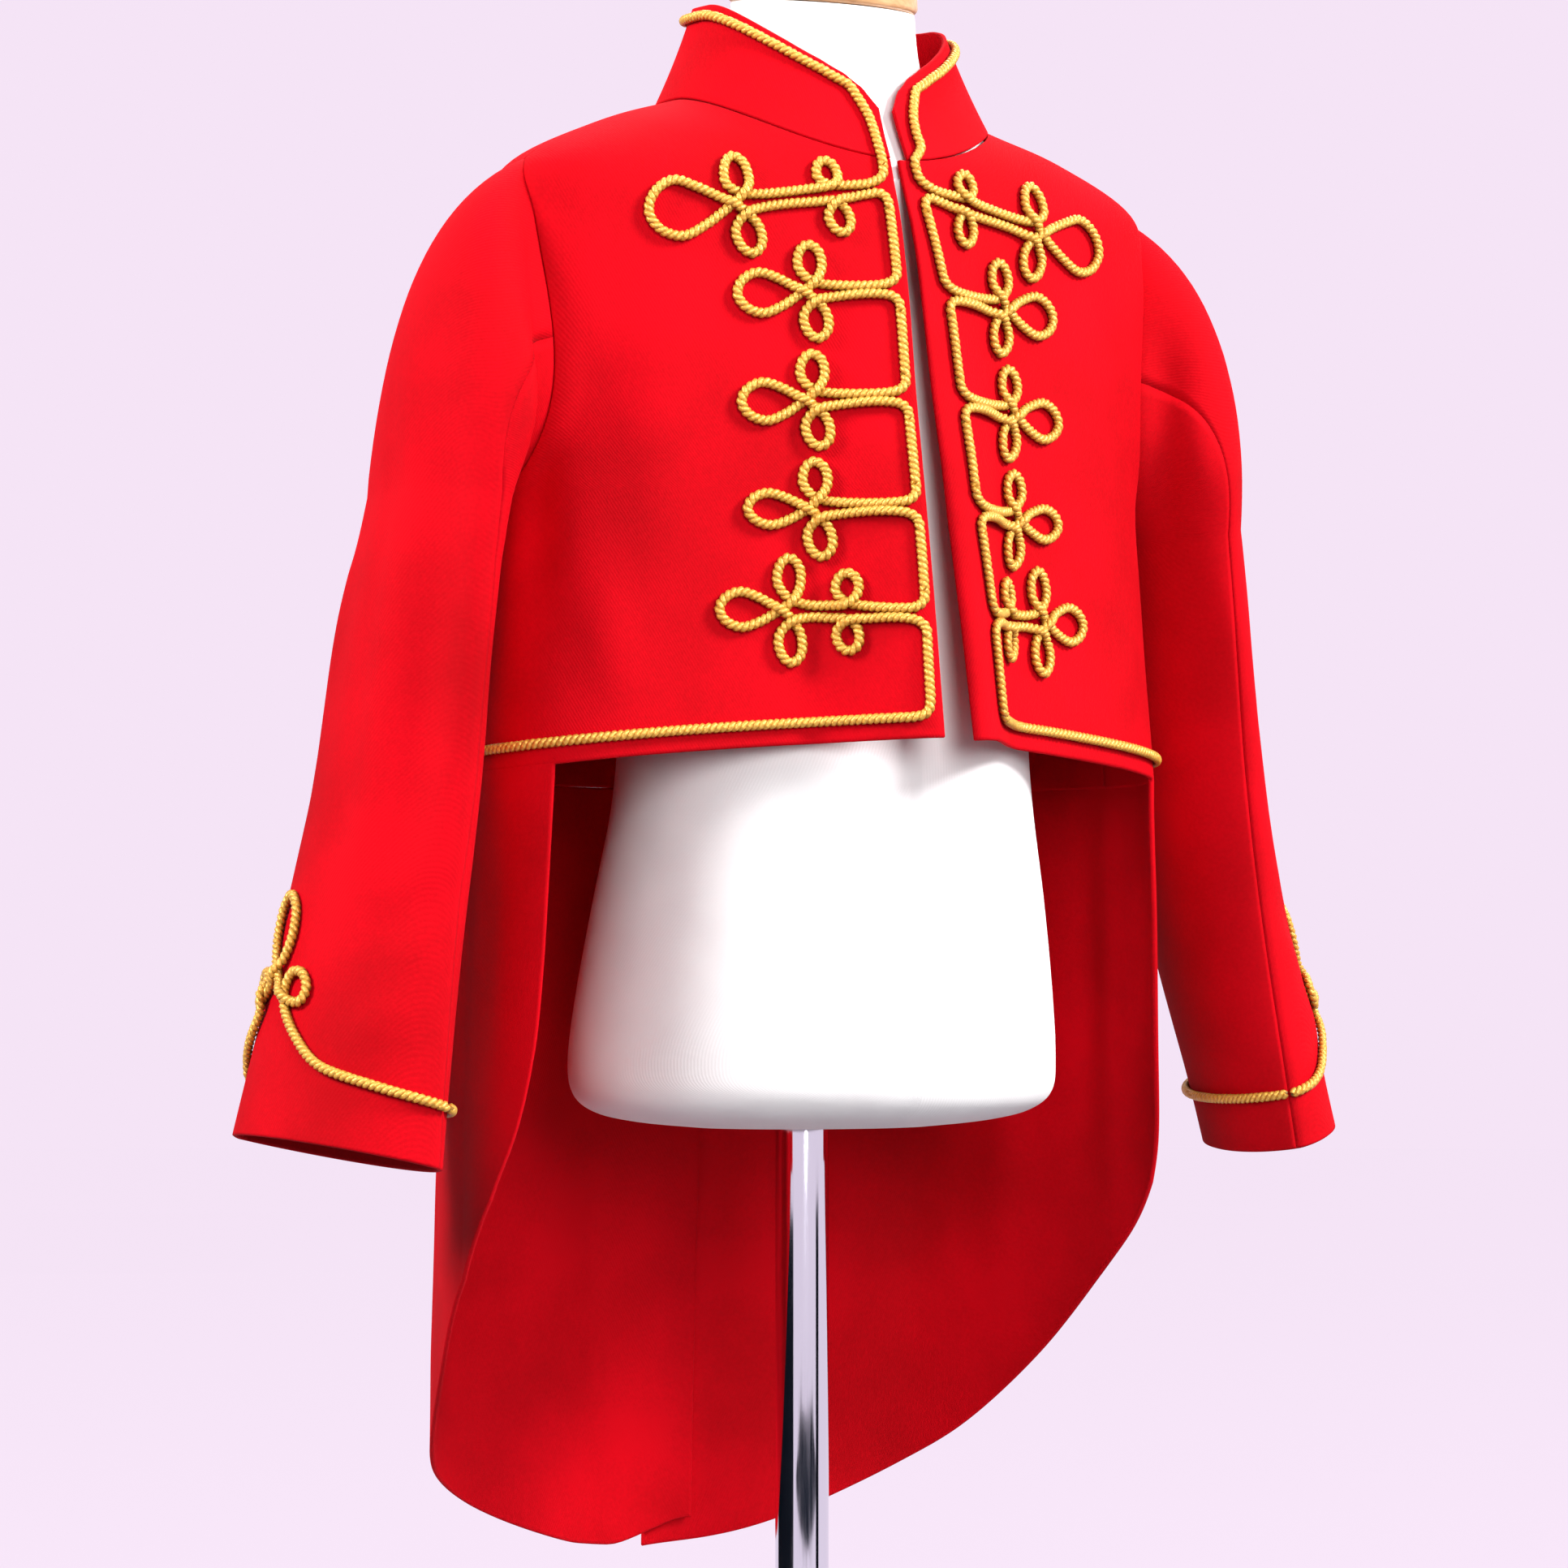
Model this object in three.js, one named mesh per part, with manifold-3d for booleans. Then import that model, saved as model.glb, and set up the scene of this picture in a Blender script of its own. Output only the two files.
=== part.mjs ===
// A child's hussar tailcoat on a limbless dress form: stand-up collar, open fronts with gold frogging,
// two plain sleeves with a cuff knot, and a pair of cutaway tails that hang from the waist seam.
// Millimetres, +Z up. The front faces -Y and the wearer's left is +X. The origin is on the floor,
// at the centre of the round base, and the pole stands on it.
import * as THREE from 'three';
import { mergeVertices } from 'three/addons/utils/BufferGeometryUtils.js';
import Module from 'manifold-3d';

const wasm = await Module();
wasm.setup();

// ---- driving sizes ----
const clothThickness = 2;
const seamGap = 0.5; // between one cut piece and the next
const cordWidth = 5.2;
const cordHeight = 2.9;
const cordLift = 1.16; // the cord's flat underside above the cloth
const poleRadius = 11;
const baseRadius = 140;
const baseHeight = 8;
const shoulderPlay = 2.3; // between the form's shoulders and the cloth that rests on them

// ---- small maths ----
const clamp = (x, low = 0, high = 1) => Math.min(high, Math.max(low, x));
const mix = (a, b, t) => a + (b - a) * t;
const smooth = (a, b, x) => {
  const t = clamp((x - a) / (b - a));
  return t * t * (3 - 2 * t);
};
const rad = (degrees) => (degrees * Math.PI) / 180;
const vec = (x, y, z) => new THREE.Vector3(x, y, z);
const steps = (count) => Array.from({ length: count + 1 }, (_, i) => i / count);
const named = (keys, rows) => rows.map((row) => Object.fromEntries(keys.map((key, i) => [key, row[i]])));

// One smooth row out of a table, at any place v between its rows.
function rowAt(table, v) {
  const last = table.length - 1;
  const i = Math.min(last - 1, Math.max(0, Math.floor(v)));
  const t = v - i;
  const pick = (k) => table[clamp(k, 0, last)];
  const row = {};
  for (const key of Object.keys(table[0])) {
    const [a, b, c, d] = [pick(i - 1)[key], pick(i)[key], pick(i + 1)[key], pick(i + 2)[key]];
    const first = i === 0 ? b - (c - b) : a;
    const fourth = i === last - 1 ? c + (c - b) : d;
    const bend = 2 * first - 5 * b + 4 * c - fourth + t * (3 * (b - c) + fourth - first);
    row[key] = b + 0.5 * t * (c - first + t * bend);
  }
  return row;
}

function bezier(p0, p1, p2, p3, t) {
  const s = 1 - t;
  return s * s * s * p0 + 3 * s * s * t * p1 + 3 * s * t * t * p2 + t * t * t * p3;
}

// ---- the coat's body ----
// One row for each level. Heights at centre front, side and centre back, half width, depth to the
// front and to the back, where the side lies fore and aft, how steeply the front runs back from the
// opening like a prow, how far its edge kicks forward, how full its corner is, how early its height
// falls towards the side, and half the opening between the two fronts.
const bodyKeys = [
  'zFront', 'zSide', 'zBack', 'width', 'front', 'back', 'side',
  'prow', 'kick', 'full', 'corner', 'sweep', 'gap',
];
const bodyRows = named(bodyKeys, [
  [492, 478, 478, 155, 102, 110, 0, 0.33, 22, 0.74, 0.64, 0.6, 9.5],
  [541, 529, 530, 151, 94, 108, -2, 0.3, 21, 0.74, 0.66, 0.4, 8.2],
  [590, 586, 588, 147, 91, 106, -4, 0.28, 14, 0.74, 0.66, 0.2, 6.8],
  [628, 622, 634, 149, 89, 103, -8, 0.28, 7.5, 0.73, 0.65, 0, 5.6],
  [661, 660, 676, 151, 86, 97, -12, 0.27, 4, 0.71, 0.63, 0, 4.4],
  [687, 697, 709, 150, 82.5, 83, -19, 0.26, 1.5, 0.68, 0.6, 0, 3.5],
  [704, 720.5, 731, 144, 79, 64, -24, 0.24, 0, 0.62, 0.58, 0, 2.8],
  [716, 739.5, 746, 108, 74.5, 52, -23, 0.16, 0, 0.58, 0.56, 0, 2.5],
  [726, 751, 757, 73, 71, 38, -18, 0.04, 0, 0.55, 0.55, 0, 2.3],
]);
const hemLevel = 0;
const underarmLevel = 2;
const shoulderLevel = 6;
const neckLevel = 8;

const kickFrom = 13; // the edge kicks forward between these distances from the centre
const kickTo = 52;

// A point of a ring, on the wearer's left: t runs from the centre line (0) to the side (1).
function ringPoint(row, half, t) {
  if (half === 'front') {
    const x = bezier(0, row.full * row.width, row.width * (1 + 0.35 * (row.full - 0.55)), row.width, t);
    const depth = row.front + row.side;
    const prow = row.full * row.width * row.prow;
    const y = bezier(-row.front, -row.front + prow, row.side - row.corner * depth, row.side, t);
    const fall = mix(smooth(0, 1, t), 1 - (1 - t) * (1 - t), row.sweep);
    return vec(x, y - row.kick * (1 - smooth(kickFrom, kickTo, x)), mix(row.zFront, row.zSide, fall));
  }
  const fullBack = 0.6;
  const x = bezier(0, fullBack * row.width, row.width, row.width, t);
  const y = bezier(row.back, row.back, row.side + fullBack * (row.back - row.side), row.side, t);
  return vec(x, y, mix(row.zBack, row.zSide, smooth(0, 1, t)));
}

const bodyPoint = (half, v, t) => ringPoint(rowAt(bodyRows, v), half, t);

function normalOf(surface, v, t, away) {
  const e = 0.01;
  const across = surface(v, t + e).sub(surface(v, t - e));
  const up = surface(v + e, t).sub(surface(v - e, t));
  const n = across.cross(up).normalize();
  return n.dot(away) < 0 ? n.negate() : n;
}

function bodyNormal(half, v, t) {
  const away = vec(0.6, half === 'front' ? -1 : 1, 0.4);
  return normalOf((a, b) => bodyPoint(half, a, b), v, t, away);
}

// Half the armhole's opening, as a share of the ring, from the underarm up to the shoulder point.
const armholeShare = { front: 0.31, back: 0.29 };
function armholeAt(half, v) {
  const t = clamp((v - underarmLevel) / (shoulderLevel - underarmLevel));
  return armholeShare[half] * Math.pow(Math.sin(Math.PI * Math.pow(t, 0.7)), 0.75);
}

// Levels of the rows: evenly up to the underarm, closer at both ends of the armhole, then the shoulder.
const belowArm = 5;
const armRows = 9;
const shoulderRows = 3;
const frontColumns = 11;
const backColumns = 9;
const levels = [
  ...steps(belowArm).map((s) => mix(hemLevel, underarmLevel, s)),
  ...steps(armRows).slice(1).map((s) => mix(underarmLevel, shoulderLevel, (1 - Math.cos(Math.PI * s)) / 2)),
  ...steps(shoulderRows).slice(1).map((s) => mix(shoulderLevel, neckLevel, s)),
];

// How much of a ring's share one seam's half gap takes, beside a share t.
function seamShare(half, v, t) {
  const e = 0.01;
  const near = Math.min(1 - e, Math.max(e, t));
  return ((seamGap / 2) * 2 * e) / bodyPoint(half, v, near - e).distanceTo(bodyPoint(half, v, near + e));
}

// A panel is a grid of outer points with the wall's outward direction at each.
function bodyPanel(half, columns) {
  return levels.map((v) => {
    const row = rowAt(bodyRows, v);
    const first = half === 'front' ? row.gap / (3 * row.full * row.width) : seamShare(half, v, 0);
    const last = 1 - armholeAt(half, v) - seamShare(half, v, 1);
    return steps(columns).map((u) => {
      const t = mix(first, last, u);
      return { point: bodyPoint(half, v, t), out: bodyNormal(half, v, t) };
    });
  });
}

// ---- walls and meshes ----
function geometryOf(vertices, triangles) {
  const geometry = new THREE.BufferGeometry();
  const numbers = vertices.flatMap((p) => [p.x, p.y, p.z]);
  geometry.setAttribute('position', new THREE.Float32BufferAttribute(numbers, 3));
  geometry.setIndex(triangles.flat());
  return geometry;
}

// Turns every triangle round where the shell encloses a negative volume.
function facingOut(vertices, triangles) {
  let volume = 0;
  for (const [a, b, c] of triangles) {
    volume += vertices[a].dot(vertices[b].clone().cross(vertices[c]));
  }
  return volume < 0 ? triangles.map(([a, b, c]) => [a, c, b]) : triangles;
}

// A closed cloth wall over a grid: outer skin, inner skin and its edges. A tube's columns close round.
function wall(grid, closed = false, thickness = clothThickness) {
  const rows = grid.length;
  const columns = grid[0].length;
  const vertices = [];
  for (const depth of [0, thickness]) {
    for (const row of grid) {
      for (const { point, out } of row) vertices.push(point.clone().addScaledVector(out, -depth));
    }
  }
  const outer = (i, j) => i * columns + (j % columns);
  const inner = (i, j) => rows * columns + outer(i, j);
  const triangles = [];
  const quad = (a, b, c, d) => triangles.push([a, b, c], [a, c, d]);
  const spans = closed ? columns : columns - 1;
  for (let j = 0; j < spans; j++) {
    for (let i = 0; i < rows - 1; i++) {
      quad(outer(i, j), outer(i, j + 1), outer(i + 1, j + 1), outer(i + 1, j));
      quad(inner(i, j), inner(i + 1, j), inner(i + 1, j + 1), inner(i, j + 1));
    }
    quad(outer(0, j), inner(0, j), inner(0, j + 1), outer(0, j + 1));
    quad(outer(rows - 1, j), outer(rows - 1, j + 1), inner(rows - 1, j + 1), inner(rows - 1, j));
  }
  if (!closed) {
    const last = columns - 1;
    for (let i = 0; i < rows - 1; i++) {
      quad(outer(i, 0), outer(i + 1, 0), inner(i + 1, 0), inner(i, 0));
      quad(outer(i, last), inner(i, last), inner(i + 1, last), outer(i + 1, last));
    }
  }
  return geometryOf(vertices, facingOut(vertices, triangles));
}

// Rings of points closed at both ends, by a fan about the centre or, for a flat ring, about its first
// point: the dress form, and each short length of cord.
function solidOfRings(rings, flatEnds = false) {
  const count = rings[0].length;
  const vertices = rings.flat();
  const triangles = [];
  for (let i = 0; i < rings.length - 1; i++) {
    for (let j = 0; j < count; j++) {
      const [a, b] = [i * count + j, i * count + ((j + 1) % count)];
      triangles.push([a, b, b + count], [a, b + count, a + count]);
    }
  }
  const ends = [[rings[0], 0], [rings[rings.length - 1], (rings.length - 1) * count]];
  ends.forEach(([ring, start], end) => {
    if (flatEnds) {
      for (let j = 1; j < count - 1; j++) {
        const fan = [start, start + j, start + j + 1];
        triangles.push(end ? fan : [fan[0], fan[2], fan[1]]);
      }
      return;
    }
    const centre = ring.reduce((sum, p) => sum.add(p), vec(0, 0, 0)).divideScalar(count);
    vertices.push(centre);
    for (let j = 0; j < count; j++) {
      const fan = [vertices.length - 1, start + j, start + ((j + 1) % count)];
      triangles.push(end ? fan : [fan[0], fan[2], fan[1]]);
    }
  });
  return geometryOf(vertices, facingOut(vertices, triangles));
}

const mirrored = (grid) => grid.map((row) => row.map(({ point, out }) => ({
  point: vec(-point.x, point.y, point.z),
  out: vec(-out.x, out.y, out.z),
})));

// Outward directions of a grid, from its neighbours, on the side of a given hint.
function withNormals(points, closed, hint) {
  const rows = points.length;
  const columns = points[0].length;
  return points.map((row, i) => row.map((point, j) => {
    const before = closed ? (j + columns - 1) % columns : Math.max(0, j - 1);
    const after = closed ? (j + 1) % columns : Math.min(columns - 1, j + 1);
    const across = row[after].clone().sub(row[before]);
    const along = points[Math.min(rows - 1, i + 1)][j].clone().sub(points[Math.max(0, i - 1)][j]);
    const out = across.cross(along).normalize();
    return { point, out: out.dot(hint(i, j)) < 0 ? out.negate() : out };
  }));
}

// ---- sleeves ----
// One row for each level below the armhole: height, centre, half the flat's depth fore and aft, half
// its thickness, and how far its front edge leans in, in degrees.
const sleeveRows = [
  { z: 584, x: 175, y: -9, depth: 50, thick: 21.5, lean: -4 },
  { z: 533, x: 183.5, y: -8.5, depth: 49.5, thick: 23, lean: 0 },
  { z: 472, x: 193, y: -10.5, depth: 49, thick: 24.5, lean: 5 },
  { z: 415, x: 205, y: -14, depth: 49, thick: 25.5, lean: 11 },
  { z: 357, x: 218.5, y: -19.5, depth: 50, thick: 26, lean: 18 },
  { z: 330, x: 224.5, y: -22, depth: 51, thick: 26.5, lean: 21 },
];
const sleeveTilt = 0.24; // a sleeve's rings lie square to its axis, which spreads this much
const capRows = 6;
// The sleeve's head runs out and then turns down at a corner: how much of its way out, of its way to
// the fore or aft edge and of its way down it has gone there, and how far forward that corner is set.
const cap = { out: 1, aside: 0.8, down: 0.16, forward: 12 };
const armholeGap = 0.65; // between the body's edge and the sleeve inside it
const armRowsBelow = 9;
const frontSeamColumn = 4;
const backSeamColumn = 14;
const sleeveSeamHalf = 0.35; // each piece stops this far from the seam

// A point of a sleeve's section: 0 faces the body, 90 is the front edge, 180 faces outwards.
function sleeveRing(v, degrees) {
  const row = rowAt(sleeveRows, v);
  const angle = rad(degrees);
  const across = -row.thick * Math.sign(Math.cos(angle)) * Math.pow(Math.abs(Math.cos(angle)), 1.25);
  const fore = -row.depth * Math.sin(angle);
  const lean = rad(row.lean);
  const x = across * Math.cos(lean) + fore * Math.sin(lean);
  const y = fore * Math.cos(lean) - across * Math.sin(lean);
  return vec(row.x + x, row.y + y, row.z + x * sleeveTilt);
}

// The armhole's edge, from the underarm up the front to the shoulder point and down the back.
function armholeLoop() {
  const place = (half, v) => {
    const t = 1 - armholeAt(half, v);
    return { half, v, point: bodyPoint(half, v, t), out: bodyNormal(half, v, t) };
  };
  const rows = levels.slice(belowArm, belowArm + armRows + 1);
  const front = rows.map((v) => place('front', v));
  const back = rows.map((v) => place('back', v)).reverse();
  for (const end of [0, armRows]) {
    const shared = front[end].out.clone().add(back[armRows - end].out).normalize();
    front[end].out.copy(shared);
  }
  return [...front, ...back.slice(1, armRows)];
}

// The whole tube, from inside the armhole down to the cuff.
function sleeveTube() {
  const loop = armholeLoop();
  const count = loop.length;
  const centre = loop.reduce((sum, p) => sum.add(p.point), vec(0, 0, 0)).divideScalar(count);
  const start = loop.map(({ point, out }) => {
    const inward = centre.clone().sub(point);
    inward.addScaledVector(out, -inward.dot(out)).normalize();
    return point.clone().addScaledVector(inward, armholeGap);
  });
  const stub = start.map((p, j) => p.clone().addScaledVector(loop[j].out, -clothThickness));
  const angleOf = (j) => (360 * j) / count;
  const head = steps(capRows).slice(1).map((s) => start.map((a, j) => {
    const b = sleeveRing(0, angleOf(j));
    const c = vec(mix(a.x, b.x, cap.out), mix(a.y, b.y, cap.aside) - cap.forward, mix(a.z, b.z, cap.down));
    const at = (key) => (1 - s) * (1 - s) * a[key] + 2 * s * (1 - s) * c[key] + s * s * b[key];
    return vec(at('x'), at('y'), at('z'));
  }));
  const lower = steps(armRowsBelow).slice(1).map((s) => {
    return loop.map((_, j) => sleeveRing(s * (sleeveRows.length - 1), angleOf(j)));
  });
  const points = [stub, start, ...head, ...lower];
  const middles = points.map((row) => row.reduce((sum, p) => sum.add(p), vec(0, 0, 0)).divideScalar(count));
  return withNormals(points, true, (i, j) => points[i][j].clone().sub(middles[i]));
}

// The sleeve is cut in two: the upper sleeve faces outwards and the under sleeve faces the body.
function sleevePiece(tube, from, to) {
  return tube.map((row) => {
    const count = row.length;
    const cells = [];
    for (let j = from; j <= to; j++) {
      const { point, out } = row[j % count];
      cells.push({ point: point.clone(), out });
    }
    const inFrom = (end, next) => {
      const way = next.point.clone().sub(end.point).normalize();
      return { point: end.point.clone().addScaledVector(way, sleeveSeamHalf), out: end.out };
    };
    const last = cells.length - 1;
    const [first, final] = [inFrom(cells[0], cells[1]), inFrom(cells[last], cells[last - 1])];
    return [first, ...cells.slice(1, last), final];
  });
}

// ---- collar ----
// Height of the stand from the neckline, by the distance from the front end towards the centre back.
const collarHeights = [
  { from: 0, height: 21 },
  { from: 0.03, height: 29 },
  { from: 0.07, height: 33.5 },
  { from: 0.13, height: 36 },
  { from: 0.22, height: 37.5 },
  { from: 0.5, height: 40.5 },
  { from: 1, height: 43 },
];
const collarLean = { front: 0.42, side: 0.46, back: 0.22 }; // how much of its height it leans in
const collarHalfLength = 205; // round its seam from the front end to the centre back
const collarStarts = { left: 0.02, right: 0 }; // its left end is set back by this share
const collarColumns = 30;
const collarRows = 3;
const neckMiddle = -8; // the neck's middle lies this far fore or aft of the pole
const collarMiddle = -17; // and the collar's

function lookUp(table, key, value, at) {
  const i = Math.max(1, table.findIndex((row) => row[key] >= at));
  const [a, b] = [table[i - 1], table[i]];
  return mix(a[value], b[value], clamp((at - a[key]) / (b[key] - a[key])));
}

// side runs from -1 at the wearer's right front end, round the back at 0, to 1 at the left front end.
function collarPoint(side, share) {
  const fromFront = 1 - Math.abs(side);
  const row = rowAt(bodyRows, neckLevel);
  const first = row.gap / (3 * row.full * row.width);
  const neck = fromFront < 0.5
    ? ringPoint(row, 'front', mix(first, 1, fromFront * 2))
    : ringPoint(row, 'back', (1 - fromFront) * 2);
  const start = side > 0 ? collarStarts.left : collarStarts.right;
  const height = lookUp(collarHeights, 'from', 'height', fromFront - start);
  const inward = vec(-neck.x, neckMiddle - neck.y, 0).normalize();
  const base = neck.clone().add(vec(0, 0, 2 * seamGap));
  const slope = fromFront < 0.5
    ? mix(collarLean.front, collarLean.side, fromFront * 2)
    : mix(collarLean.side, collarLean.back, fromFront * 2 - 1);
  const lean = slope * height * share * (1.2 - 0.2 * share);
  base.addScaledVector(inward, lean).add(vec(0, 0, height * share));
  return vec(base.x * Math.sign(side || 1), base.y, base.z);
}

function collarGrid() {
  // Columns lie closer together at the two rounded front ends.
  const places = steps(collarColumns).map((s) => {
    const side = 2 * s - 1;
    const start = side > 0 ? collarStarts.left : collarStarts.right;
    return Math.sign(side) * (1 - mix(start, 1, Math.pow(1 - Math.abs(side), 1.35)));
  });
  const points = steps(collarRows).map((share) => places.map((side) => collarPoint(side, share)));
  return withNormals(points, false, (i, j) => points[i][j].clone().sub(vec(0, collarMiddle, 0)).setZ(0));
}

// ---- tails ----
// The cut edge of a tail, laid flat: distance round the waist from the centre back, and height.
const tailHem = [
  { round: 0, z: 151 },
  { round: 30, z: 154 },
  { round: 56, z: 160 },
  { round: 84, z: 170 },
  { round: 112, z: 184 },
  { round: 141, z: 203 },
  { round: 176, z: 235 },
  { round: 205, z: 269 },
  { round: 224, z: 291 },
  { round: 238, z: 310 },
];
// Its straight front edge, from the end of that curve up to the waist seam.
const tailFront = [
  { round: 238, z: 310 },
  { round: 250, z: 336 },
  { round: 257, z: 367 },
  { round: 260, z: 400 },
  { round: 262, z: 440 },
  { round: 264, z: 486 },
];
const tailLap = 20; // the right tail runs this far past the centre back, under the left one
const tailFlareOut = 0.02;
const tailFlareBack = 0.16;
const tailRipple = { depth: 4.5, length: 118 };
const waistHalf = { width: 155, depth: 110 }; // the waist's half width, and its depth to the back
const tailTop = 482;
const tailFloor = 150;
const tailRows = 12;
const tailColumns = 13;

// The waist ring from the centre back round to the front, as a list of points with their distance.
const waistRing = (() => {
  const row = rowAt(bodyRows, hemLevel);
  const fine = 60;
  const points = [
    ...steps(fine).map((t) => ringPoint(row, 'back', t)),
    ...steps(fine).slice(1).map((t) => ringPoint(row, 'front', 1 - t)),
  ];
  let round = 0;
  return points.map((point, i) => {
    if (i) round += Math.hypot(point.x - points[i - 1].x, point.y - points[i - 1].y);
    return { round, x: point.x, y: point.y, z: point.z };
  });
})();

function waistAt(round) {
  const at = Math.abs(round);
  const sign = round < 0 ? -1 : 1;
  const [x, y, z] = ['x', 'y', 'z'].map((key) => lookUp(waistRing, 'round', key, at));
  return vec(sign * x, y, z);
}

// A tail's point on the wearer's left: it hangs from the waist ring and flares and ripples as it falls.
function tailPoint(round, z, lapDepth) {
  const waist = waistAt(round);
  const fall = clamp((tailTop - z) / (tailTop - tailFloor), 0, 1.05);
  const flare = 1 - Math.pow(1 - clamp(fall, 0, 1), 1.6);
  const back = clamp(waist.y / waistHalf.depth);
  const wave = Math.cos((2 * Math.PI * round) / tailRipple.length);
  const ripple = tailRipple.depth * fall * wave * smooth(0, 60, 300 - round);
  const under = lapDepth * smooth(34, 18, round);
  const x = waist.x * (1 + tailFlareOut * flare);
  const y = waist.y + waistHalf.depth * tailFlareBack * flare * back;
  const outX = waist.x / waistHalf.width;
  const outY = Math.max(0, waist.y) / waistHalf.depth;
  const size = Math.hypot(outX, outY) || 1;
  return vec(x + (ripple * outX) / size, y + ((ripple - under) * outY) / size, z);
}

// Fills a tail's flat outline from its four sides.
function tailFlat(u, v, inner) {
  const top = (s) => {
    const round = mix(inner, tailFront[tailFront.length - 1].round, s);
    return [round, waistAt(round).z - 2 * seamGap];
  };
  const bottom = (s) => {
    const at = s * (tailHem.length - 1);
    const row = rowAt(tailHem, at);
    const lap = inner * (1 - smooth(0, 0.16, s));
    return [row.round + lap, row.z + (inner < 0 ? 12 * smooth(0.1, 0, s) : 0)];
  };
  const frontEdge = (s) => {
    const row = rowAt(tailFront, s * (tailFront.length - 1));
    return [row.round, Math.min(row.z, waistAt(row.round).z - 2 * seamGap)];
  };
  const innerEdge = (s) => {
    const [low, high] = [bottom(0), top(0)];
    return [inner, mix(low[1], high[1], s)];
  };
  const blend = (k) => {
    const sides = mix(innerEdge(v)[k], frontEdge(v)[k], u);
    const ends = mix(bottom(u)[k], top(u)[k], v);
    const corners = mix(mix(bottom(0)[k], bottom(1)[k], u), mix(top(0)[k], top(1)[k], u), v);
    return sides + ends - corners;
  };
  return [blend(0), blend(1)];
}

function tailGrid(inner, lapDepth) {
  const points = steps(tailRows).map((v) => steps(tailColumns).map((u) => {
    const [round, z] = tailFlat(u, v, inner);
    return tailPoint(round, z, lapDepth);
  }));
  return withNormals(points, false, (i, j) => vec(points[i][j].x, points[i][j].y + 30, 0));
}

// ---- cords ----
// Finds the place on a grid at a distance along from its first column and a height up that column.
function placeOn(grid, along, height) {
  const rows = grid.length;
  let i = 0;
  while (i < rows - 2 && grid[i + 1][0].point.z < height) i++;
  const [low, high] = [grid[i][0].point.z, grid[i + 1][0].point.z];
  const share = (height - low) / (high - low);
  const at = (j) => grid[i][j].point.clone().lerp(grid[i + 1][j].point, share);
  let travelled = 0;
  for (let j = 0; j < grid[0].length - 1; j++) {
    const step = at(j).distanceTo(at(j + 1));
    if (travelled + step >= along || j === grid[0].length - 2) {
      const t = (along - travelled) / step;
      const point = at(j).lerp(at(j + 1), t);
      const lowOut = grid[i][j].out.clone().lerp(grid[i][j + 1].out, t);
      const highOut = grid[i + 1][j].out.clone().lerp(grid[i + 1][j + 1].out, t);
      return { point, out: lowOut.lerp(highOut, share).normalize() };
    }
    travelled += step;
  }
  return null;
}

// A smooth line through flat points: short steps round its bends, longer ones where it runs straight.
const longestStep = 10;
const sharpestBend = rad(37);
function evenly(flat, step) {
  const curve = new THREE.CatmullRomCurve3(flat.map(([x, y]) => vec(x, y, 0)), false, 'centripetal');
  const count = Math.max(2, Math.round(curve.getLength() / (step / 4)));
  curve.arcLengthDivisions = count * 5;
  const fine = curve.getSpacedPoints(count);
  const kept = [fine[0]];
  let [bent, gone] = [0, 0];
  for (let i = 1; i < count; i++) {
    const [before, after] = [fine[i].clone().sub(fine[i - 1]), fine[i + 1].clone().sub(fine[i])];
    bent += before.angleTo(after);
    gone += before.length();
    if (gone >= longestStep || (gone >= step && bent >= sharpestBend)) {
      kept.push(fine[i]);
      [bent, gone] = [0, 0];
    }
  }
  if (gone < step / 2 && kept.length > 2) kept.pop();
  return [...kept, fine[count]].map((p) => [p.x, p.y]);
}

// One cord along places on the cloth: short lengths of a low flat-bottomed section, fused together,
// so that it may cross itself.
const cordSection = [
  [-0.5, 0],
  [-0.3, 1],
  [0.3, 1],
  [0.5, 0],
];
const lengthSteps = 4;
const fusedTolerance = 0.1; // what fusing may smooth away

function cordSolid(places, crosses = false, lift = cordLift) {
  const rings = places.map(({ point, out }, i) => {
    const ahead = places[Math.min(places.length - 1, i + 1)].point;
    const behind = places[Math.max(0, i - 1)].point;
    const side = ahead.clone().sub(behind).cross(out).normalize();
    return cordSection.map(([across, up]) => point.clone()
      .addScaledVector(side, across * cordWidth)
      .addScaledVector(out, lift + up * cordHeight));
  });
  if (!crosses) return solidOfRings(rings, true);
  let whole = null;
  for (let i = 0; i < rings.length - 1; i += lengthSteps) {
    const part = asManifold(solidOfRings(rings.slice(i, i + lengthSteps + 1), true));
    whole = whole ? whole.add(part) : part;
  }
  const pieces = whole.simplify(fusedTolerance).decompose();
  return fromManifold(pieces.reduce((a, b) => (b.volume() > a.volume() ? b : a)));
}

function asManifold(geometry) {
  const bare = geometry.clone();
  bare.deleteAttribute('normal');
  bare.deleteAttribute('uv');
  const merged = mergeVertices(bare, 1e-4);
  return new wasm.Manifold(new wasm.Mesh({
    numProp: 3,
    vertProperties: new Float32Array(merged.attributes.position.array),
    triVerts: new Uint32Array(merged.index.array),
  }));
}

function fromManifold(solid) {
  const mesh = solid.getMesh();
  const geometry = new THREE.BufferGeometry();
  geometry.setAttribute('position', new THREE.BufferAttribute(new Float32Array(mesh.vertProperties), 3));
  geometry.setIndex([...mesh.triVerts]);
  return geometry;
}

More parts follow.
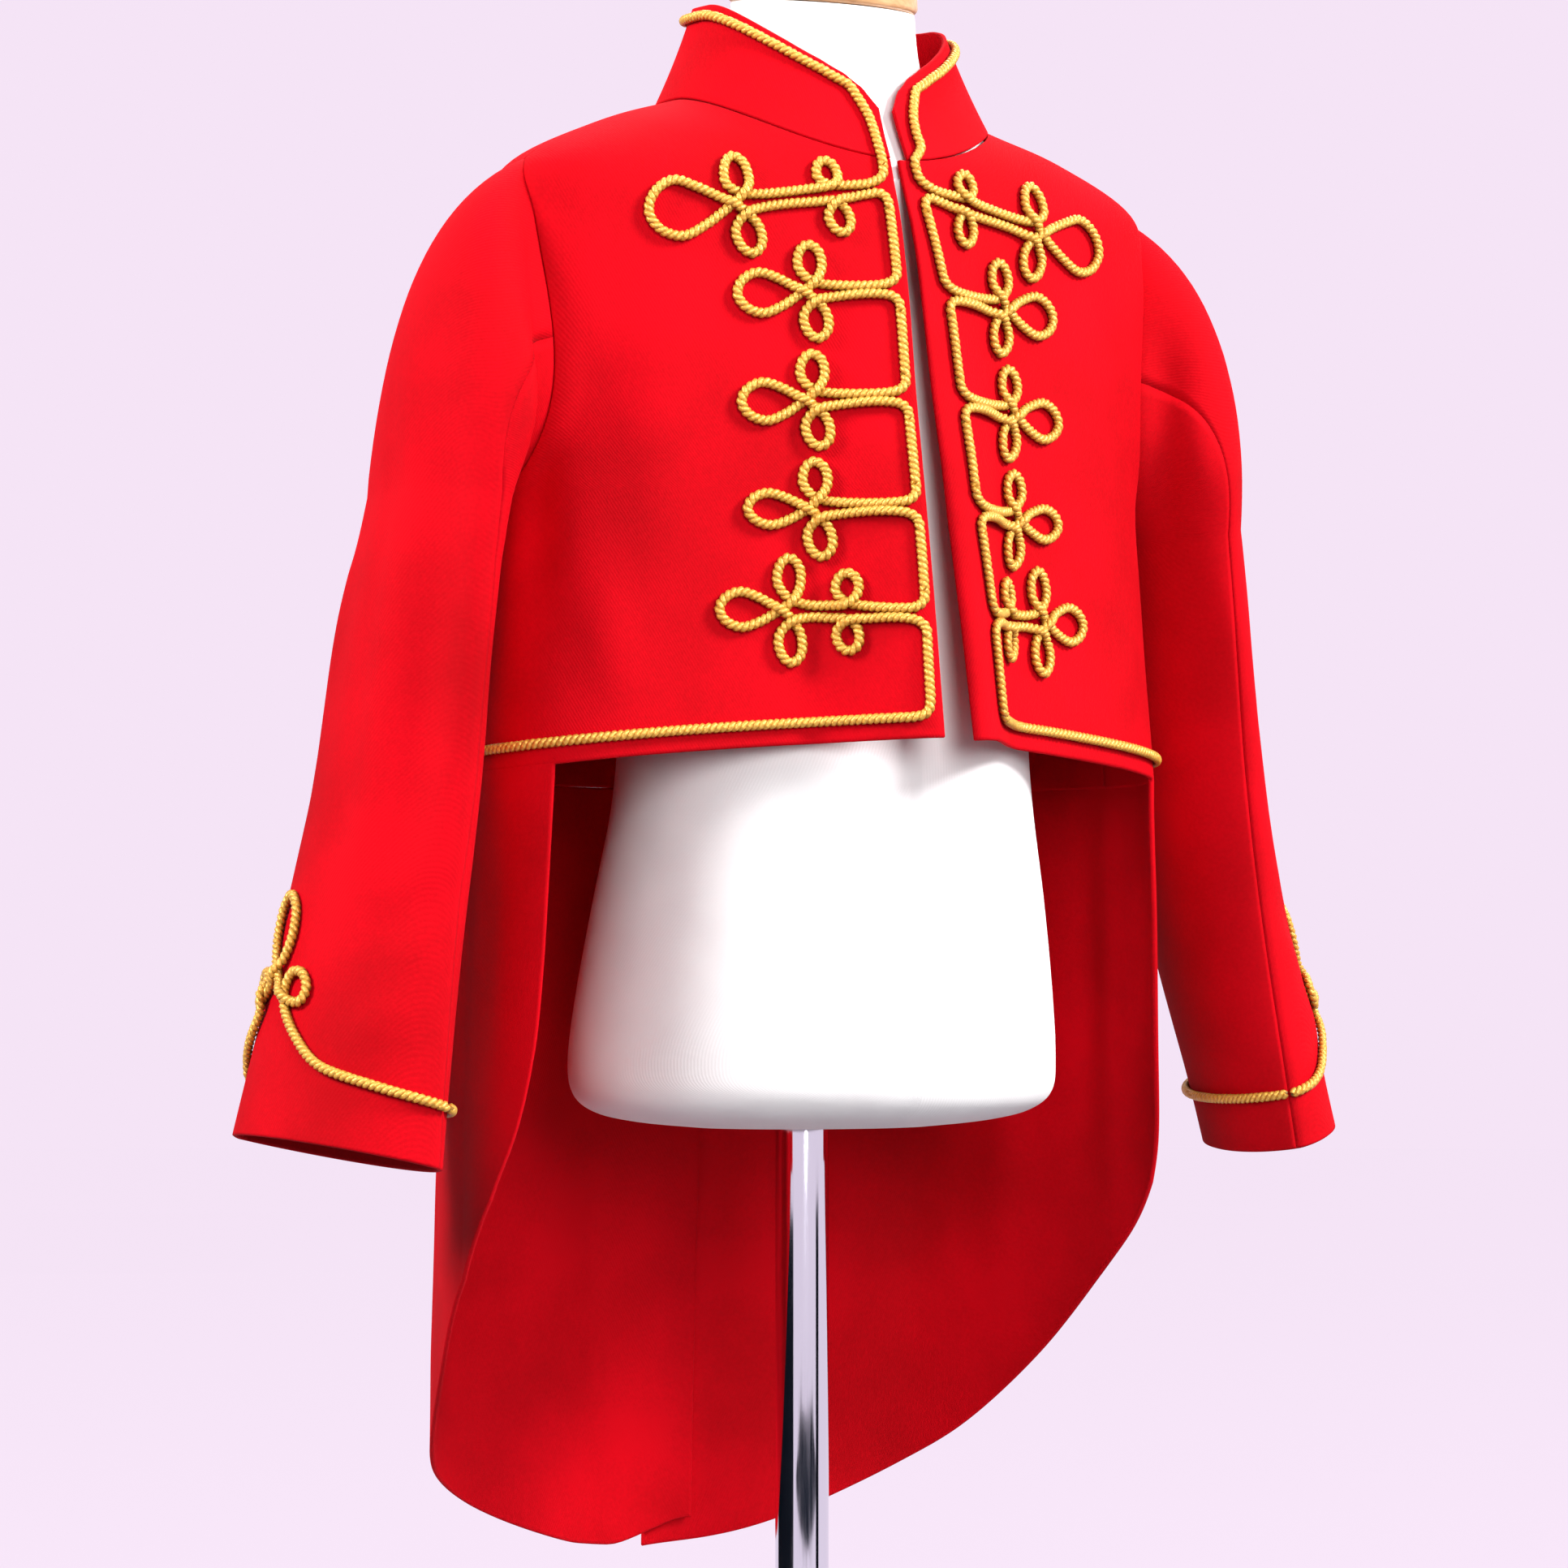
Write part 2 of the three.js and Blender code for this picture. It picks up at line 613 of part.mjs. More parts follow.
// ---- frogging ----
// From the front edge to the centre of the cord that follows it, which is laid wider on the side that
// laps under.
const cordInsets = {
  left: [
    { z: 490, inset: 17 },
    { z: 545, inset: 16 },
    { z: 590, inset: 12.5 },
    { z: 660, inset: 12 },
    { z: 705, inset: 7 },
    { z: 730, inset: 5.5 },
  ],
  right: [
    { z: 490, inset: 5.5 },
    { z: 560, inset: 4.5 },
    { z: 730, inset: 5 },
  ],
};
const insetAt = (side, z) => lookUp(cordInsets[side], 'z', 'inset', z);

// One row for each frog, from the top: height at its edge cord, where its curls stand out from that
// cord, how high they hang, what share of that they stand up, how wide they are, the tip of its end
// loop, that loop's half height, and by how many degrees the whole frog droops.
const frogs = named(['z', 'curls', 'high', 'above', 'wide', 'tip', 'loop', 'droop'], [
  [713, [24.5, 64.5], [16, 18.8], 0.74, [4.4, 5.2], 104, 9.3, 11.5],
  [670.5, [35.5], [18.6], 1, [4.9], 67, 7.8, 3.5],
  [626.5, [37], [18.6], 1, [4.9], 67.5, 7.6, 2],
  [582, [39.5], [18.8], 1, [5], 68.5, 6.2, 0],
  [539.5, [30.5, 54.5], [15.4, 20.5], 1, [4.6, 4.8], 83, 6.8, -3.5],
]);
const barHalf = 2.45; // the two cords of a bar lie side by side
const turnReach = 8.4; // a frog's own length of the edge cord, above and below its bar
const cordGap = 1.85; // from there to the next length of cord
const frogStep = 4.4;
const droopFrom = 9;
const edgeStep = 10;
const hemCordZ = 499;
const hemCordLength = 196;
// Where the edge cord turns into the hem's: distance past the corner, and height over the hem cord.
const hemTurn = [[0, 5.5], [0.4, 2.8], [2, 0.8], [6, 0], [12, 0]];
const hemStep = 9;

// The upper half of a frog's line, from the edge cord out to the tip of the end loop.
function frogHalf({ curls, high, wide, tip, loop }) {
  const line = [[0, turnReach], [0.3, 5.5], [3.5, barHalf + 0.2]];
  curls.forEach((at, i) => {
    const [h, w] = [high[i], wide[i]];
    line.push(
      [at - 8, barHalf],
      [at + 0.5, 0.16 * h + 1.6],
      [at + w, 0.52 * h],
      [at + 0.7 * w, 0.87 * h],
      [at - 0.4, h],
      [at - 0.9 * w, 0.85 * h],
      [at - w, 0.5 * h],
      [at - 1, 0.14 * h + 1],
    );
    if (i < curls.length - 1) line.push([at + 8, barHalf]);
  });
  const last = curls[curls.length - 1];
  line.push(
    [last + 5.5, -0.8],
    [mix(last, tip, 0.45), -0.72 * loop],
    [mix(last, tip, 0.7), -loop],
    [mix(last, tip, 0.92), -0.62 * loop],
    [tip, 0],
  );
  return line;
}

function frogPlaces(panel, frog, side) {
  const above = frogHalf({ ...frog, high: frog.high.map((high) => high * frog.above) });
  const below = frogHalf(frog).slice(0, -1).reverse().map(([out, up]) => [out, -up]);
  return evenly([...above, ...below], frogStep).map(([out, up]) => {
    // The droop sets in past the edge cord, which runs on straight.
    const turn = rad(frog.droop) * smooth(0, droopFrom, out);
    const along = out * Math.cos(turn) + up * Math.sin(turn);
    const z = frog.z + up * Math.cos(turn) - out * Math.sin(turn);
    return placeOn(panel, insetAt(side, mix(z, frog.z, smooth(0, droopFrom, out))) + along, z);
  });
}

function edgePlaces(panel, side, from, to) {
  const count = Math.max(1, Math.round(Math.abs(to - from) / edgeStep));
  return steps(count).map((s) => mix(from, to, s)).map((z) => placeOn(panel, insetAt(side, z), z));
}

// The lengths of edge cord between one frog and the next, and the one that turns along the hem.
function edgeCords(panel, side) {
  const cords = frogs.slice(1).map((below, i) => {
    const top = frogs[i].z - turnReach - cordGap;
    return edgePlaces(panel, side, top, below.z + turnReach + cordGap);
  });
  const start = frogs[frogs.length - 1].z - turnReach - cordGap;
  const corner = insetAt(side, hemCordZ);
  const down = edgePlaces(panel, side, start, hemCordZ + hemTurn[0][1]);
  const hem = hemTurn.slice(1).map(([past, up]) => [corner + past, hemCordZ + up]);
  const straight = hemCordLength - hem[hem.length - 1][0];
  const count = Math.ceil((straight - hemStep / 2) / hemStep);
  for (let i = 1; i < count; i++) hem.push([hem[hemTurn.length - 2][0] + i * hemStep, hemCordZ]);
  hem.push([hemCordLength, hemCordZ]);
  cords.push([...down, ...hem.map(([along, z]) => placeOn(panel, along, z))]);
  return cords;
}

// ---- collar cord ----
const collarCordDrop = 5.5; // cord centre below the collar's top edge
const collarCordSteps = 21;
// How it climbs the rounded end: share of the seam gone along, and share of the collar's height.
const collarRise = [[0, 0.12], [0.002, 0.34], [0.008, 0.55], [0.022, 0.71]];
const collarTurnEnd = 0.045;

function onCollar(side, share) {
  const e = 0.002;
  const hint = collarPoint(side, share).sub(vec(0, collarMiddle, 0)).setZ(0);
  const across = collarPoint(side + e, share).sub(collarPoint(side - e, share));
  const up = collarPoint(side, share + 0.02).sub(collarPoint(side, share - 0.02));
  const out = across.cross(up).normalize();
  return { point: collarPoint(side, share), out: out.dot(hint) < 0 ? out.negate() : out };
}

// Half of the collar's cord: up the front edge, up the collar's rounded end and round to the back.
function collarCordHalf(panel, side, sign) {
  const start = frogs[0].z + turnReach + cordGap;
  const seam = bodyRows[neckLevel].zFront - 1;
  const lane = (from) => 1 - collarCordDrop / lookUp(collarHeights, 'from', 'height', from);
  const first = collarStarts[side] + insetAt(side, seam) / collarHalfLength;
  const rise = collarRise.map(([on, share]) => [first + on, share]);
  const froms = steps(collarCordSteps).map((s) => mix(first + collarTurnEnd, 1, s));
  const round = froms.map((from) => [from, lane(from - collarStarts[side])]);
  return [
    ...edgePlaces(panel, side, start, seam),
    ...[...rise, ...round].map(([from, share]) => onCollar(sign * (1 - from), share)),
  ];
}

function collarCord(left, right) {
  const leftHalf = collarCordHalf(left, 'left', 1);
  const rightHalf = collarCordHalf(right, 'right', -1);
  return [...leftHalf, ...rightHalf.slice(0, -1).reverse()];
}

// ---- cuff knots ----
// The front half of a cuff's line, laid flat: distance round from the knot, and height over the edge.
const knotHalf = [
  [32, 30],
  [19, 40],
  [10, 51],
  [8.5, 58],
  [12, 64.5],
  [18.5, 64.5],
  [22, 59],
  [19.5, 53.5],
  [13.5, 53],
  [7, 57],
  [1, 63],
  [-4.5, 71],
  [-8, 81],
  [-6.5, 91],
  [0, 96],
];
const cuffLineHeight = 23;
const cuffSeam = 59; // the line ends just short of the sleeve's two seams, this far from its outside
const cuffUnderReach = 53; // round the under sleeve, each way from the side that faces the body
const cuffUnderSteps = 8;
const cuffCordLift = 1.5;
const cuffStep = 5;

// Finds a place on one piece of a sleeve by the distance round from its middle column and the height
// over the cuff, measured up the outside of the upper piece.
function placeOnSleeve(grid, round, height, upper = grid) {
  const outside = (upper[0].length - 1) / 2;
  let i = grid.length - 1;
  let climbed = 0;
  const climb = () => upper[i][outside].point.distanceTo(upper[i - 1][outside].point);
  while (i > 1 && climbed + climb() < height) {
    climbed += climb();
    i--;
  }
  const rise = (height - climbed) / climb();
  const middle = (grid[0].length - 1) / 2;
  const at = (j, key) => grid[i][j][key].clone().lerp(grid[i - 1][j][key], rise);
  const way = round > 0 ? -1 : 1; // the upper piece's front edge lies at a lower column
  let travelled = 0;
  for (let j = middle; ; j += way) {
    const step = at(j, 'point').distanceTo(at(j + way, 'point'));
    const t = (Math.abs(round) - travelled) / step;
    if (t <= 1 || j === middle + way * (middle - 1)) {
      const between = (key) => at(j, key).lerp(at(j + way, key), t);
      return { point: between('point'), out: between('out').normalize() };
    }
    travelled += step;
  }
}

function cuffCord(grid, turn) {
  const side = (end) => {
    const dip = [mix(knotHalf[0][0], end, 0.45), cuffLineHeight + 2.4];
    return [[end, cuffLineHeight], dip, ...knotHalf];
  };
  const back = side(cuffSeam + turn).slice(0, -1).reverse().map(([round, up]) => [-round, up]);
  return evenly([...side(cuffSeam - turn), ...back], cuffStep)
    .map(([round, up]) => placeOnSleeve(grid, round + turn, up));
}

// The rest of the line, round the under sleeve from one seam to the other.
function cuffUnderCord(under, upper) {
  return steps(cuffUnderSteps).map((s) => {
    return placeOnSleeve(under, mix(-cuffUnderReach, cuffUnderReach, s), cuffLineHeight, upper);
  });
}

// ---- dress form and stand ----
// Its levels, from the domed underside to below the shoulders.
const formRows = [
  { z: 336, width: 52, front: 50, back: 34, side: -8 },
  { z: 340, width: 86, front: 76, back: 60, side: -9 },
  { z: 349, width: 104, front: 89, back: 70, side: -10 },
  { z: 372, width: 106, front: 91, back: 72, side: -10 },
  { z: 420, width: 99, front: 92, back: 66, side: -14 },
  { z: 480, width: 89, front: 90, back: 58, side: -18 },
  { z: 540, width: 89, front: 85, back: 60, side: -18 },
  { z: 600, width: 98, front: 79, back: 68, side: -14 },
  { z: 650, width: 110, front: 72, back: 70, side: -14 },
  { z: 684, width: 117, front: 65, back: 64, side: -15 },
];
const formColumns = 24;
const formSteps = 13;
const formShoulders = [7.05, 7.33, 7.85]; // levels of the coat's body that the form's shoulders follow
const neckRings = [
  { z: 762, drop: 5, width: 50, front: 52, back: 22 },
  { z: 776, drop: 5, width: 41, front: 53.5, back: 21 },
  { z: 796, drop: 6, width: 38, front: 54, back: 21.5 },
];
const capRadius = 38.5;
const capHeight = 13;
const capTilt = rad(8);
const capLevel = 796.6;
const neckCentreY = -16;
const poleTop = 398;
const poleClearance = 0.5; // round the pole, in the form and in the base
const boreLength = 90;

function ovalPoint(row, share) {
  const angle = 2 * Math.PI * share;
  const [s, c] = [Math.sin(angle), Math.cos(angle)];
  const depth = c > 0 ? row.front + row.side : row.back - row.side;
  return vec(row.width * s, row.side - depth * c, row.z);
}

// Under the coat's shoulders the form follows the cloth, just clear of it.
function underCloth(v, share) {
  const left = share <= 0.5;
  const round = left ? share * 2 : (1 - share) * 2;
  const half = round < 0.5 ? 'front' : 'back';
  const t = half === 'front' ? round * 2 : 2 - round * 2;
  const inset = clothThickness + shoulderPlay;
  const p = bodyPoint(half, v, t).addScaledVector(bodyNormal(half, v, t), -inset);
  if (t < 1e-9) p.x = 0;
  return vec(left ? p.x : -p.x, p.y, p.z);
}

function formSolid() {
  const shares = steps(formColumns).slice(0, -1);
  const lower = steps(formSteps).map((s) => {
    const row = rowAt(formRows, s * (formRows.length - 1));
    return shares.map((share) => ovalPoint(row, share));
  });
  const shoulders = formShoulders.map((v) => shares.map((share) => underCloth(v, share)));
  const neck = neckRings.map((row) => shares.map((share) => {
    const p = ovalPoint({ ...row, side: neckCentreY }, share);
    return p.setZ(row.z + (p.y - neckCentreY) * Math.tan(capTilt) * (row.drop / 6));
  }));
  const boreRadius = poleRadius + poleClearance;
  const bore = new THREE.CylinderGeometry(boreRadius, boreRadius, boreLength, 24);
  bore.rotateX(Math.PI / 2).translate(0, 0, poleTop + 2 - boreLength / 2);
  const body = asManifold(solidOfRings([...lower, ...shoulders, ...neck]));
  return fromManifold(body.subtract(asManifold(bore)));
}

// Lathe profiles are drawn upright and turned so that their axis is Z.
function turned(profile, segments) {
  const points = profile.map(([x, y]) => new THREE.Vector2(x, y));
  return new THREE.LatheGeometry(points, segments).rotateX(Math.PI / 2);
}

const capSolid = () => turned([
  [0, 0],
  [capRadius, 0],
  [capRadius + 0.8, 2.5],
  [capRadius, 6],
  [capRadius * 0.86, 9.5],
  [capRadius * 0.5, capHeight - 1],
  [0, capHeight],
], 24);

const baseSolid = () => turned([
  [0, 0],
  [baseRadius - 1.5, 0],
  [baseRadius, 1.5],
  [baseRadius, baseHeight - 2],
  [baseRadius - 2, baseHeight],
  [26, baseHeight + 1.5],
  [20, baseHeight + 12],
  [poleRadius + poleClearance, baseHeight + 12],
  [poleRadius + poleClearance, baseHeight - 3],
  [0, baseHeight - 3],
], 32);

const poleSolid = () => turned([
  [0, baseHeight - 2.4],
  [poleRadius, baseHeight - 2.4],
  [poleRadius, poleTop],
  [0, poleTop],
], 20);

// ---- finishes ----
const cloth = new THREE.MeshStandardMaterial({ color: '#d80018', roughness: 0.9, metalness: 0 });
const gold = new THREE.MeshStandardMaterial({ color: '#e0a83c', roughness: 0.45, metalness: 0.6 });
const cover = new THREE.MeshStandardMaterial({ color: '#f2f0ef', roughness: 0.8, metalness: 0 });
const wood = new THREE.MeshStandardMaterial({ color: '#d3a172', roughness: 0.55, metalness: 0 });
const chrome = new THREE.MeshStandardMaterial({ color: '#c9ccd2', roughness: 0.12, metalness: 1 });

// ---- the assembly ----
const group = new THREE.Group();

// Lathe meshes repeat the points of their seam, so they are merged into one closed shell.
function add(name, geometry, material, place) {
  const bare = geometry.clone();
  bare.deleteAttribute('normal');
  bare.deleteAttribute('uv');
  const mesh = new THREE.Mesh(mergeVertices(bare, 1e-4), material);
  mesh.name = name;
  if (place) place(mesh);
  group.add(mesh);
}

const frontLeft = bodyPanel('front', frontColumns);
const backLeft = bodyPanel('back', backColumns);
const sleeveLeft = sleeveTube();
const sleeveUpper = sleevePiece(sleeveLeft, frontSeamColumn, backSeamColumn);
const sleeveUnder = sleevePiece(sleeveLeft, backSeamColumn, frontSeamColumn + sleeveLeft[0].length);
const sides = [
  { side: 'left', turn: (grid) => grid, tailInner: 0.3, lapDepth: 0, knotTurn: 8 },
  { side: 'right', turn: mirrored, tailInner: -tailLap, lapDepth: 3.6, knotTurn: -22 },
];

for (const { side, turn, tailInner, lapDepth, knotTurn } of sides) {
  const front = turn(frontLeft);
  const upper = turn(sleeveUpper);
  add(`front_${side}`, wall(front), cloth);
  add(`back_${side}`, wall(turn(backLeft)), cloth);
  add(`sleeve_upper_${side}`, wall(upper), cloth);
  const under = turn(sleeveUnder);
  add(`sleeve_under_${side}`, wall(under), cloth);
  add(`tail_${side}`, wall(turn(tailGrid(tailInner, lapDepth))), cloth);
  frogs.forEach((frog, i) => {
    add(`frog_${side}_${i + 1}`, cordSolid(frogPlaces(front, frog, side), true), gold);
  });
  const cords = edgeCords(front, side);
  cords.slice(0, -1).forEach((places, i) => add(`edge_cord_${side}_${i + 1}`, cordSolid(places), gold));
  add(`hem_cord_${side}`, cordSolid(cords[cords.length - 1]), gold);
  add(`cuff_cord_${side}`, cordSolid(cuffCord(upper, knotTurn), true, cuffCordLift), gold);
  add(`cuff_cord_under_${side}`, cordSolid(cuffUnderCord(under, upper), false, cuffCordLift), gold);
}
add('collar', wall(collarGrid()), cloth);
add('collar_cord', cordSolid(collarCord(frontLeft, mirrored(frontLeft))), gold);

add('dress_form', formSolid(), cover);
add('neck_cap', capSolid(), wood, (mesh) => {
  mesh.position.set(0, neckCentreY, capLevel);
  mesh.rotation.x = capTilt;
});
add('pole', poleSolid(), chrome);
add('base', baseSolid(), chrome);

export default group;
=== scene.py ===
# A child's red hussar tailcoat with gold cord frogging, on a white dress form and a chromed stand.
# Lengths are in millimetres until a mesh is made, which takes metres. The front faces -Y and the
# wearer's left is +X.
import math

import bpy
import numpy as np
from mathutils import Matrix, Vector, noise


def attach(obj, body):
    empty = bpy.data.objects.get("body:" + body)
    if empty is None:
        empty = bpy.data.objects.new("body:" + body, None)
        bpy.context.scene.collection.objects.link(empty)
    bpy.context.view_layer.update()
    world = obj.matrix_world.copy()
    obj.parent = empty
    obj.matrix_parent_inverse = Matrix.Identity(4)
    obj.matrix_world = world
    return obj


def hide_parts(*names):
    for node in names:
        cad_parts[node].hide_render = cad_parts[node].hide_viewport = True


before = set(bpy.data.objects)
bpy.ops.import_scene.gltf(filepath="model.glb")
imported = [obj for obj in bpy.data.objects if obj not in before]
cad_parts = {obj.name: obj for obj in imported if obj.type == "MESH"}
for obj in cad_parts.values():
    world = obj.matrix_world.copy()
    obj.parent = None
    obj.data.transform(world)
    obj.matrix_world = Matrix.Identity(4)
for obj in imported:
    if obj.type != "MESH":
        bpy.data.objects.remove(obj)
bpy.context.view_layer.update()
metre = 0.001  # one millimetre


def clamp(x, low=0.0, high=1.0):
    return min(high, max(low, x))


def mix(a, b, t):
    return a + (b - a) * t


def smooth(a, b, x):
    t = clamp((x - a) / (b - a))
    return t * t * (3 - 2 * t)


def steps(count):
    return [i / count for i in range(count + 1)]


# even steps with one more beside each end, which keeps a cloth's edge crisp
def edged(count, close):
    inner = steps(count)[1:-1]
    return [0.0, close, *inner, 1 - close, 1.0]


def unit(vectors):
    lengths = np.linalg.norm(vectors, axis=-1, keepdims=True)
    return vectors / np.maximum(lengths, 1e-12)


def lookUp(table, at):
    return float(np.interp(at, [a for a, _ in table], [b for _, b in table]))


def rowAt(table, v):  # a smooth row out of a table, at any place between its rows
    last = len(table) - 1
    i = min(last - 1, max(0, math.floor(v)))
    t = v - i
    b, c = table[i], table[i + 1]
    row = {}
    for key in b:
        before = table[i - 1][key] if i > 0 else 2 * b[key] - c[key]
        after = table[i + 2][key] if i < last - 1 else 2 * c[key] - b[key]
        bend = 3 * (b[key] - c[key]) + after - before
        curve = 2 * before - 5 * b[key] + 4 * c[key] - after + t * bend
        row[key] = b[key] + 0.5 * t * (c[key] - before + t * curve)
    return row


def bezier(a, b, c, d, t):
    s = 1 - t
    return s * s * s * a + 3 * s * s * t * b + 3 * s * t * t * c + t * t * t * d


# a centripetal Catmull-Rom curve through points, cut into even steps
def curveThrough(points, step):
    points = np.array(points, float)
    padded = np.vstack([2 * points[0] - points[1], points, 2 * points[-1] - points[-2]])
    fine = []
    for p0, p1, p2, p3 in zip(padded, padded[1:], padded[2:], padded[3:]):
        k1 = math.sqrt(np.linalg.norm(p1 - p0))
        k2 = k1 + math.sqrt(np.linalg.norm(p2 - p1))
        k3 = k2 + math.sqrt(np.linalg.norm(p3 - p2))
        for s in np.linspace(k1, k2, 16, endpoint=False):
            a1 = (k1 - s) / k1 * p0 + s / k1 * p1
            a2 = (k2 - s) / (k2 - k1) * p1 + (s - k1) / (k2 - k1) * p2
            a3 = (k3 - s) / (k3 - k2) * p2 + (s - k2) / (k3 - k2) * p3
            b1 = (k2 - s) / k2 * a1 + s / k2 * a2
            b2 = (k3 - s) / (k3 - k1) * a2 + (s - k1) / (k3 - k1) * a3
            fine.append((k2 - s) / (k2 - k1) * b1 + (s - k1) / (k2 - k1) * b2)
    fine.append(points[-1])
    return evenSteps(np.array(fine), step)


def evenSteps(line, step):
    gone = np.concatenate([[0], np.cumsum(np.linalg.norm(np.diff(line, axis=0), axis=1))])
    places = np.linspace(0, gone[-1], max(3, round(gone[-1] / step)) + 1)
    return np.stack([np.interp(places, gone, line[:, k]) for k in range(line.shape[1])], axis=1)


# the coat's body: one row for each level, from the hem to the neckline
coat = {
    "thickness": 2.0,  # cloth and its facing together
    "rim": 0.5,  # how far a free edge's round stands out past the two skins
    "seamRim": 0.03,  # the same where an edge is sewn to the next piece
    "seam": 0.03,  # half the groove between two pieces
    "columns": 66,
    "unevenness": 0.55,
    "creasing": 1.7,  # how strongly every crease below is pressed in
}
bodyKeys = "zFront zSide zBack width front back side prow kick full corner sweep gap".split()
bodyRows = [dict(zip(bodyKeys, row)) for row in [
    (492, 478, 478, 155, 102, 110, 0, 0.33, 22, 0.74, 0.64, 0.6, 9.5),
    (541, 529, 530, 151, 94, 108, -2, 0.3, 21, 0.74, 0.66, 0.4, 8.2),
    (590, 586, 588, 147, 91, 106, -4, 0.28, 14, 0.74, 0.66, 0.2, 6.8),
    (628, 622, 634, 149, 89, 103, -8, 0.28, 7.5, 0.73, 0.65, 0, 5.6),
    (661, 660, 676, 151, 86, 97, -12, 0.27, 4, 0.71, 0.63, 0, 4.4),
    (687, 697, 709, 150, 82.5, 83, -19, 0.26, 1.5, 0.68, 0.6, 0, 3.5),
    (704, 720.5, 731, 144, 79, 64, -24, 0.24, 0, 0.62, 0.58, 0, 2.8),
    (716, 739.5, 746, 108, 74.5, 52, -23, 0.16, 0, 0.58, 0.56, 0, 2.5),
    (726, 751, 757, 73, 71, 38, -18, 0.04, 0, 0.55, 0.55, 0, 2.3),
]]
hemLevel, underarmLevel, shoulderLevel, neckLevel = 0, 2, 6, 8
kickFrom, kickTo = 13, 52
# the armhole: how far it cuts into each half, and how high and how full its widest part is
armhole = {"front": 0.31, "back": 0.29, "peak": 0.7, "fullness": 0.75}


def ringPoint(row, half, t):
    if half == "front":
        wide = row["width"] * (1 + 0.35 * (row["full"] - 0.55))
        x = bezier(0, row["full"] * row["width"], wide, row["width"], t)
        depth = row["front"] + row["side"]
        runBack = -row["front"] + row["full"] * row["width"] * row["prow"]
        y = bezier(-row["front"], runBack, row["side"] - row["corner"] * depth, row["side"], t)
        fall = mix(smooth(0, 1, t), 1 - (1 - t) * (1 - t), row["sweep"])
        y -= row["kick"] * (1 - smooth(kickFrom, kickTo, x))
        return np.array([x, y, mix(row["zFront"], row["zSide"], fall)])
    full = 0.6
    x = bezier(0, full * row["width"], row["width"], row["width"], t)
    y = bezier(row["back"], row["back"], row["side"] + full * (row["back"] - row["side"]), row["side"], t)
    return np.array([x, y, mix(row["zBack"], row["zSide"], smooth(0, 1, t))])


def bodyPoint(half, v, t):
    return ringPoint(rowAt(bodyRows, v), half, t)


def bodyNormal(half, v, t):
    e = 0.01
    across = bodyPoint(half, v, t + e) - bodyPoint(half, v, t - e)
    up = bodyPoint(half, v + e, t) - bodyPoint(half, v - e, t)
    out = unit(np.cross(across, up))
    return -out if out @ np.array([0.6, -1 if half == "front" else 1, 0.4]) < 0 else out


def armholeAt(half, v):
    t = clamp((v - underarmLevel) / (shoulderLevel - underarmLevel))
    return armhole[half] * max(0, math.sin(math.pi * t ** armhole["peak"])) ** armhole["fullness"]


belowArm, armRows, shoulderRows = 26, 45, 18
armLevels = [mix(underarmLevel, shoulderLevel, (1 - math.cos(math.pi * s)) / 2) for s in steps(armRows)]
levels = [
    *[mix(hemLevel, underarmLevel, s) for s in [0, 0.012, *steps(belowArm)[1:-1]]],
    *armLevels,
    *[mix(shoulderLevel, neckLevel, s) for s in [*steps(shoulderRows)[1:-1], 0.985, 1]],
]


# how much of a ring's share a length takes, beside a share t
def shareOf(half, v, t, length):
    e = 0.01
    near = min(1 - e, max(e, t))
    span = np.linalg.norm(bodyPoint(half, v, near + e) - bodyPoint(half, v, near - e))
    return length * 2 * e / span


def bodyPanel(half):
    inset = coat["seam"] + coat["seamRim"]
    points = []
    for v in levels:
        row = rowAt(bodyRows, v)
        first = shareOf(half, v, 0, inset)
        if half == "front":
            first = row["gap"] / (3 * row["full"] * row["width"])
        last = 1 - armholeAt(half, v) - shareOf(half, v, 1, inset)
        points.append([bodyPoint(half, v, mix(first, last, u)) for u in edged(coat["columns"], 0.008)])
    return np.array(points)


# the outward direction at each point of a grid, on the side of a hint
def outwardOf(points, closed, hint):
    if closed:
        across = np.roll(points, -1, axis=1) - np.roll(points, 1, axis=1)
    else:
        across = np.gradient(points, axis=1)
    out = unit(np.cross(across, np.gradient(points, axis=0)))
    return np.where((out * hint).sum(-1, keepdims=True) < 0, -out, out)


# presses soft troughs and ridges along short lines into a cloth; a negative depth is a trough
def creased(points, outs, creases):
    moved = points.copy()
    for start, end, width, depth in creases:
        a, b = np.array(start, float), np.array(end, float)
        along = np.clip(((points - a) @ (b - a)) / ((b - a) @ (b - a)), 0, 1)
        away = np.linalg.norm(points - a - along[..., None] * (b - a), axis=-1)
        taper = 0.25 + 0.75 * np.sin(np.pi * np.clip(along, 0.0, 1.0))
        moved += outs * (coat["creasing"] * depth * taper * np.exp(-((away / width) ** 2)))[..., None]
    return moved


# a slow waviness, as soft cloth has where nothing holds it
def uneven(points, outs, size, amount, seed):
    rise = [[noise.noise(Vector(p / size) + Vector((seed, 0, 0))) for p in row] for row in points]
    return points + outs * (amount * np.array(rise))[..., None]


def mirrored(grid):
    return grid * np.array([-1, 1, 1])


# the distance gone along each row or column of a grid
def lengthsAlong(points, axis):
    spans = np.linalg.norm(np.diff(points, axis=axis), axis=-1)
    pad = [(1, 0), (0, 0)] if axis == 0 else [(0, 0), (1, 0)]
    return np.pad(np.cumsum(spans, axis=axis), pad)


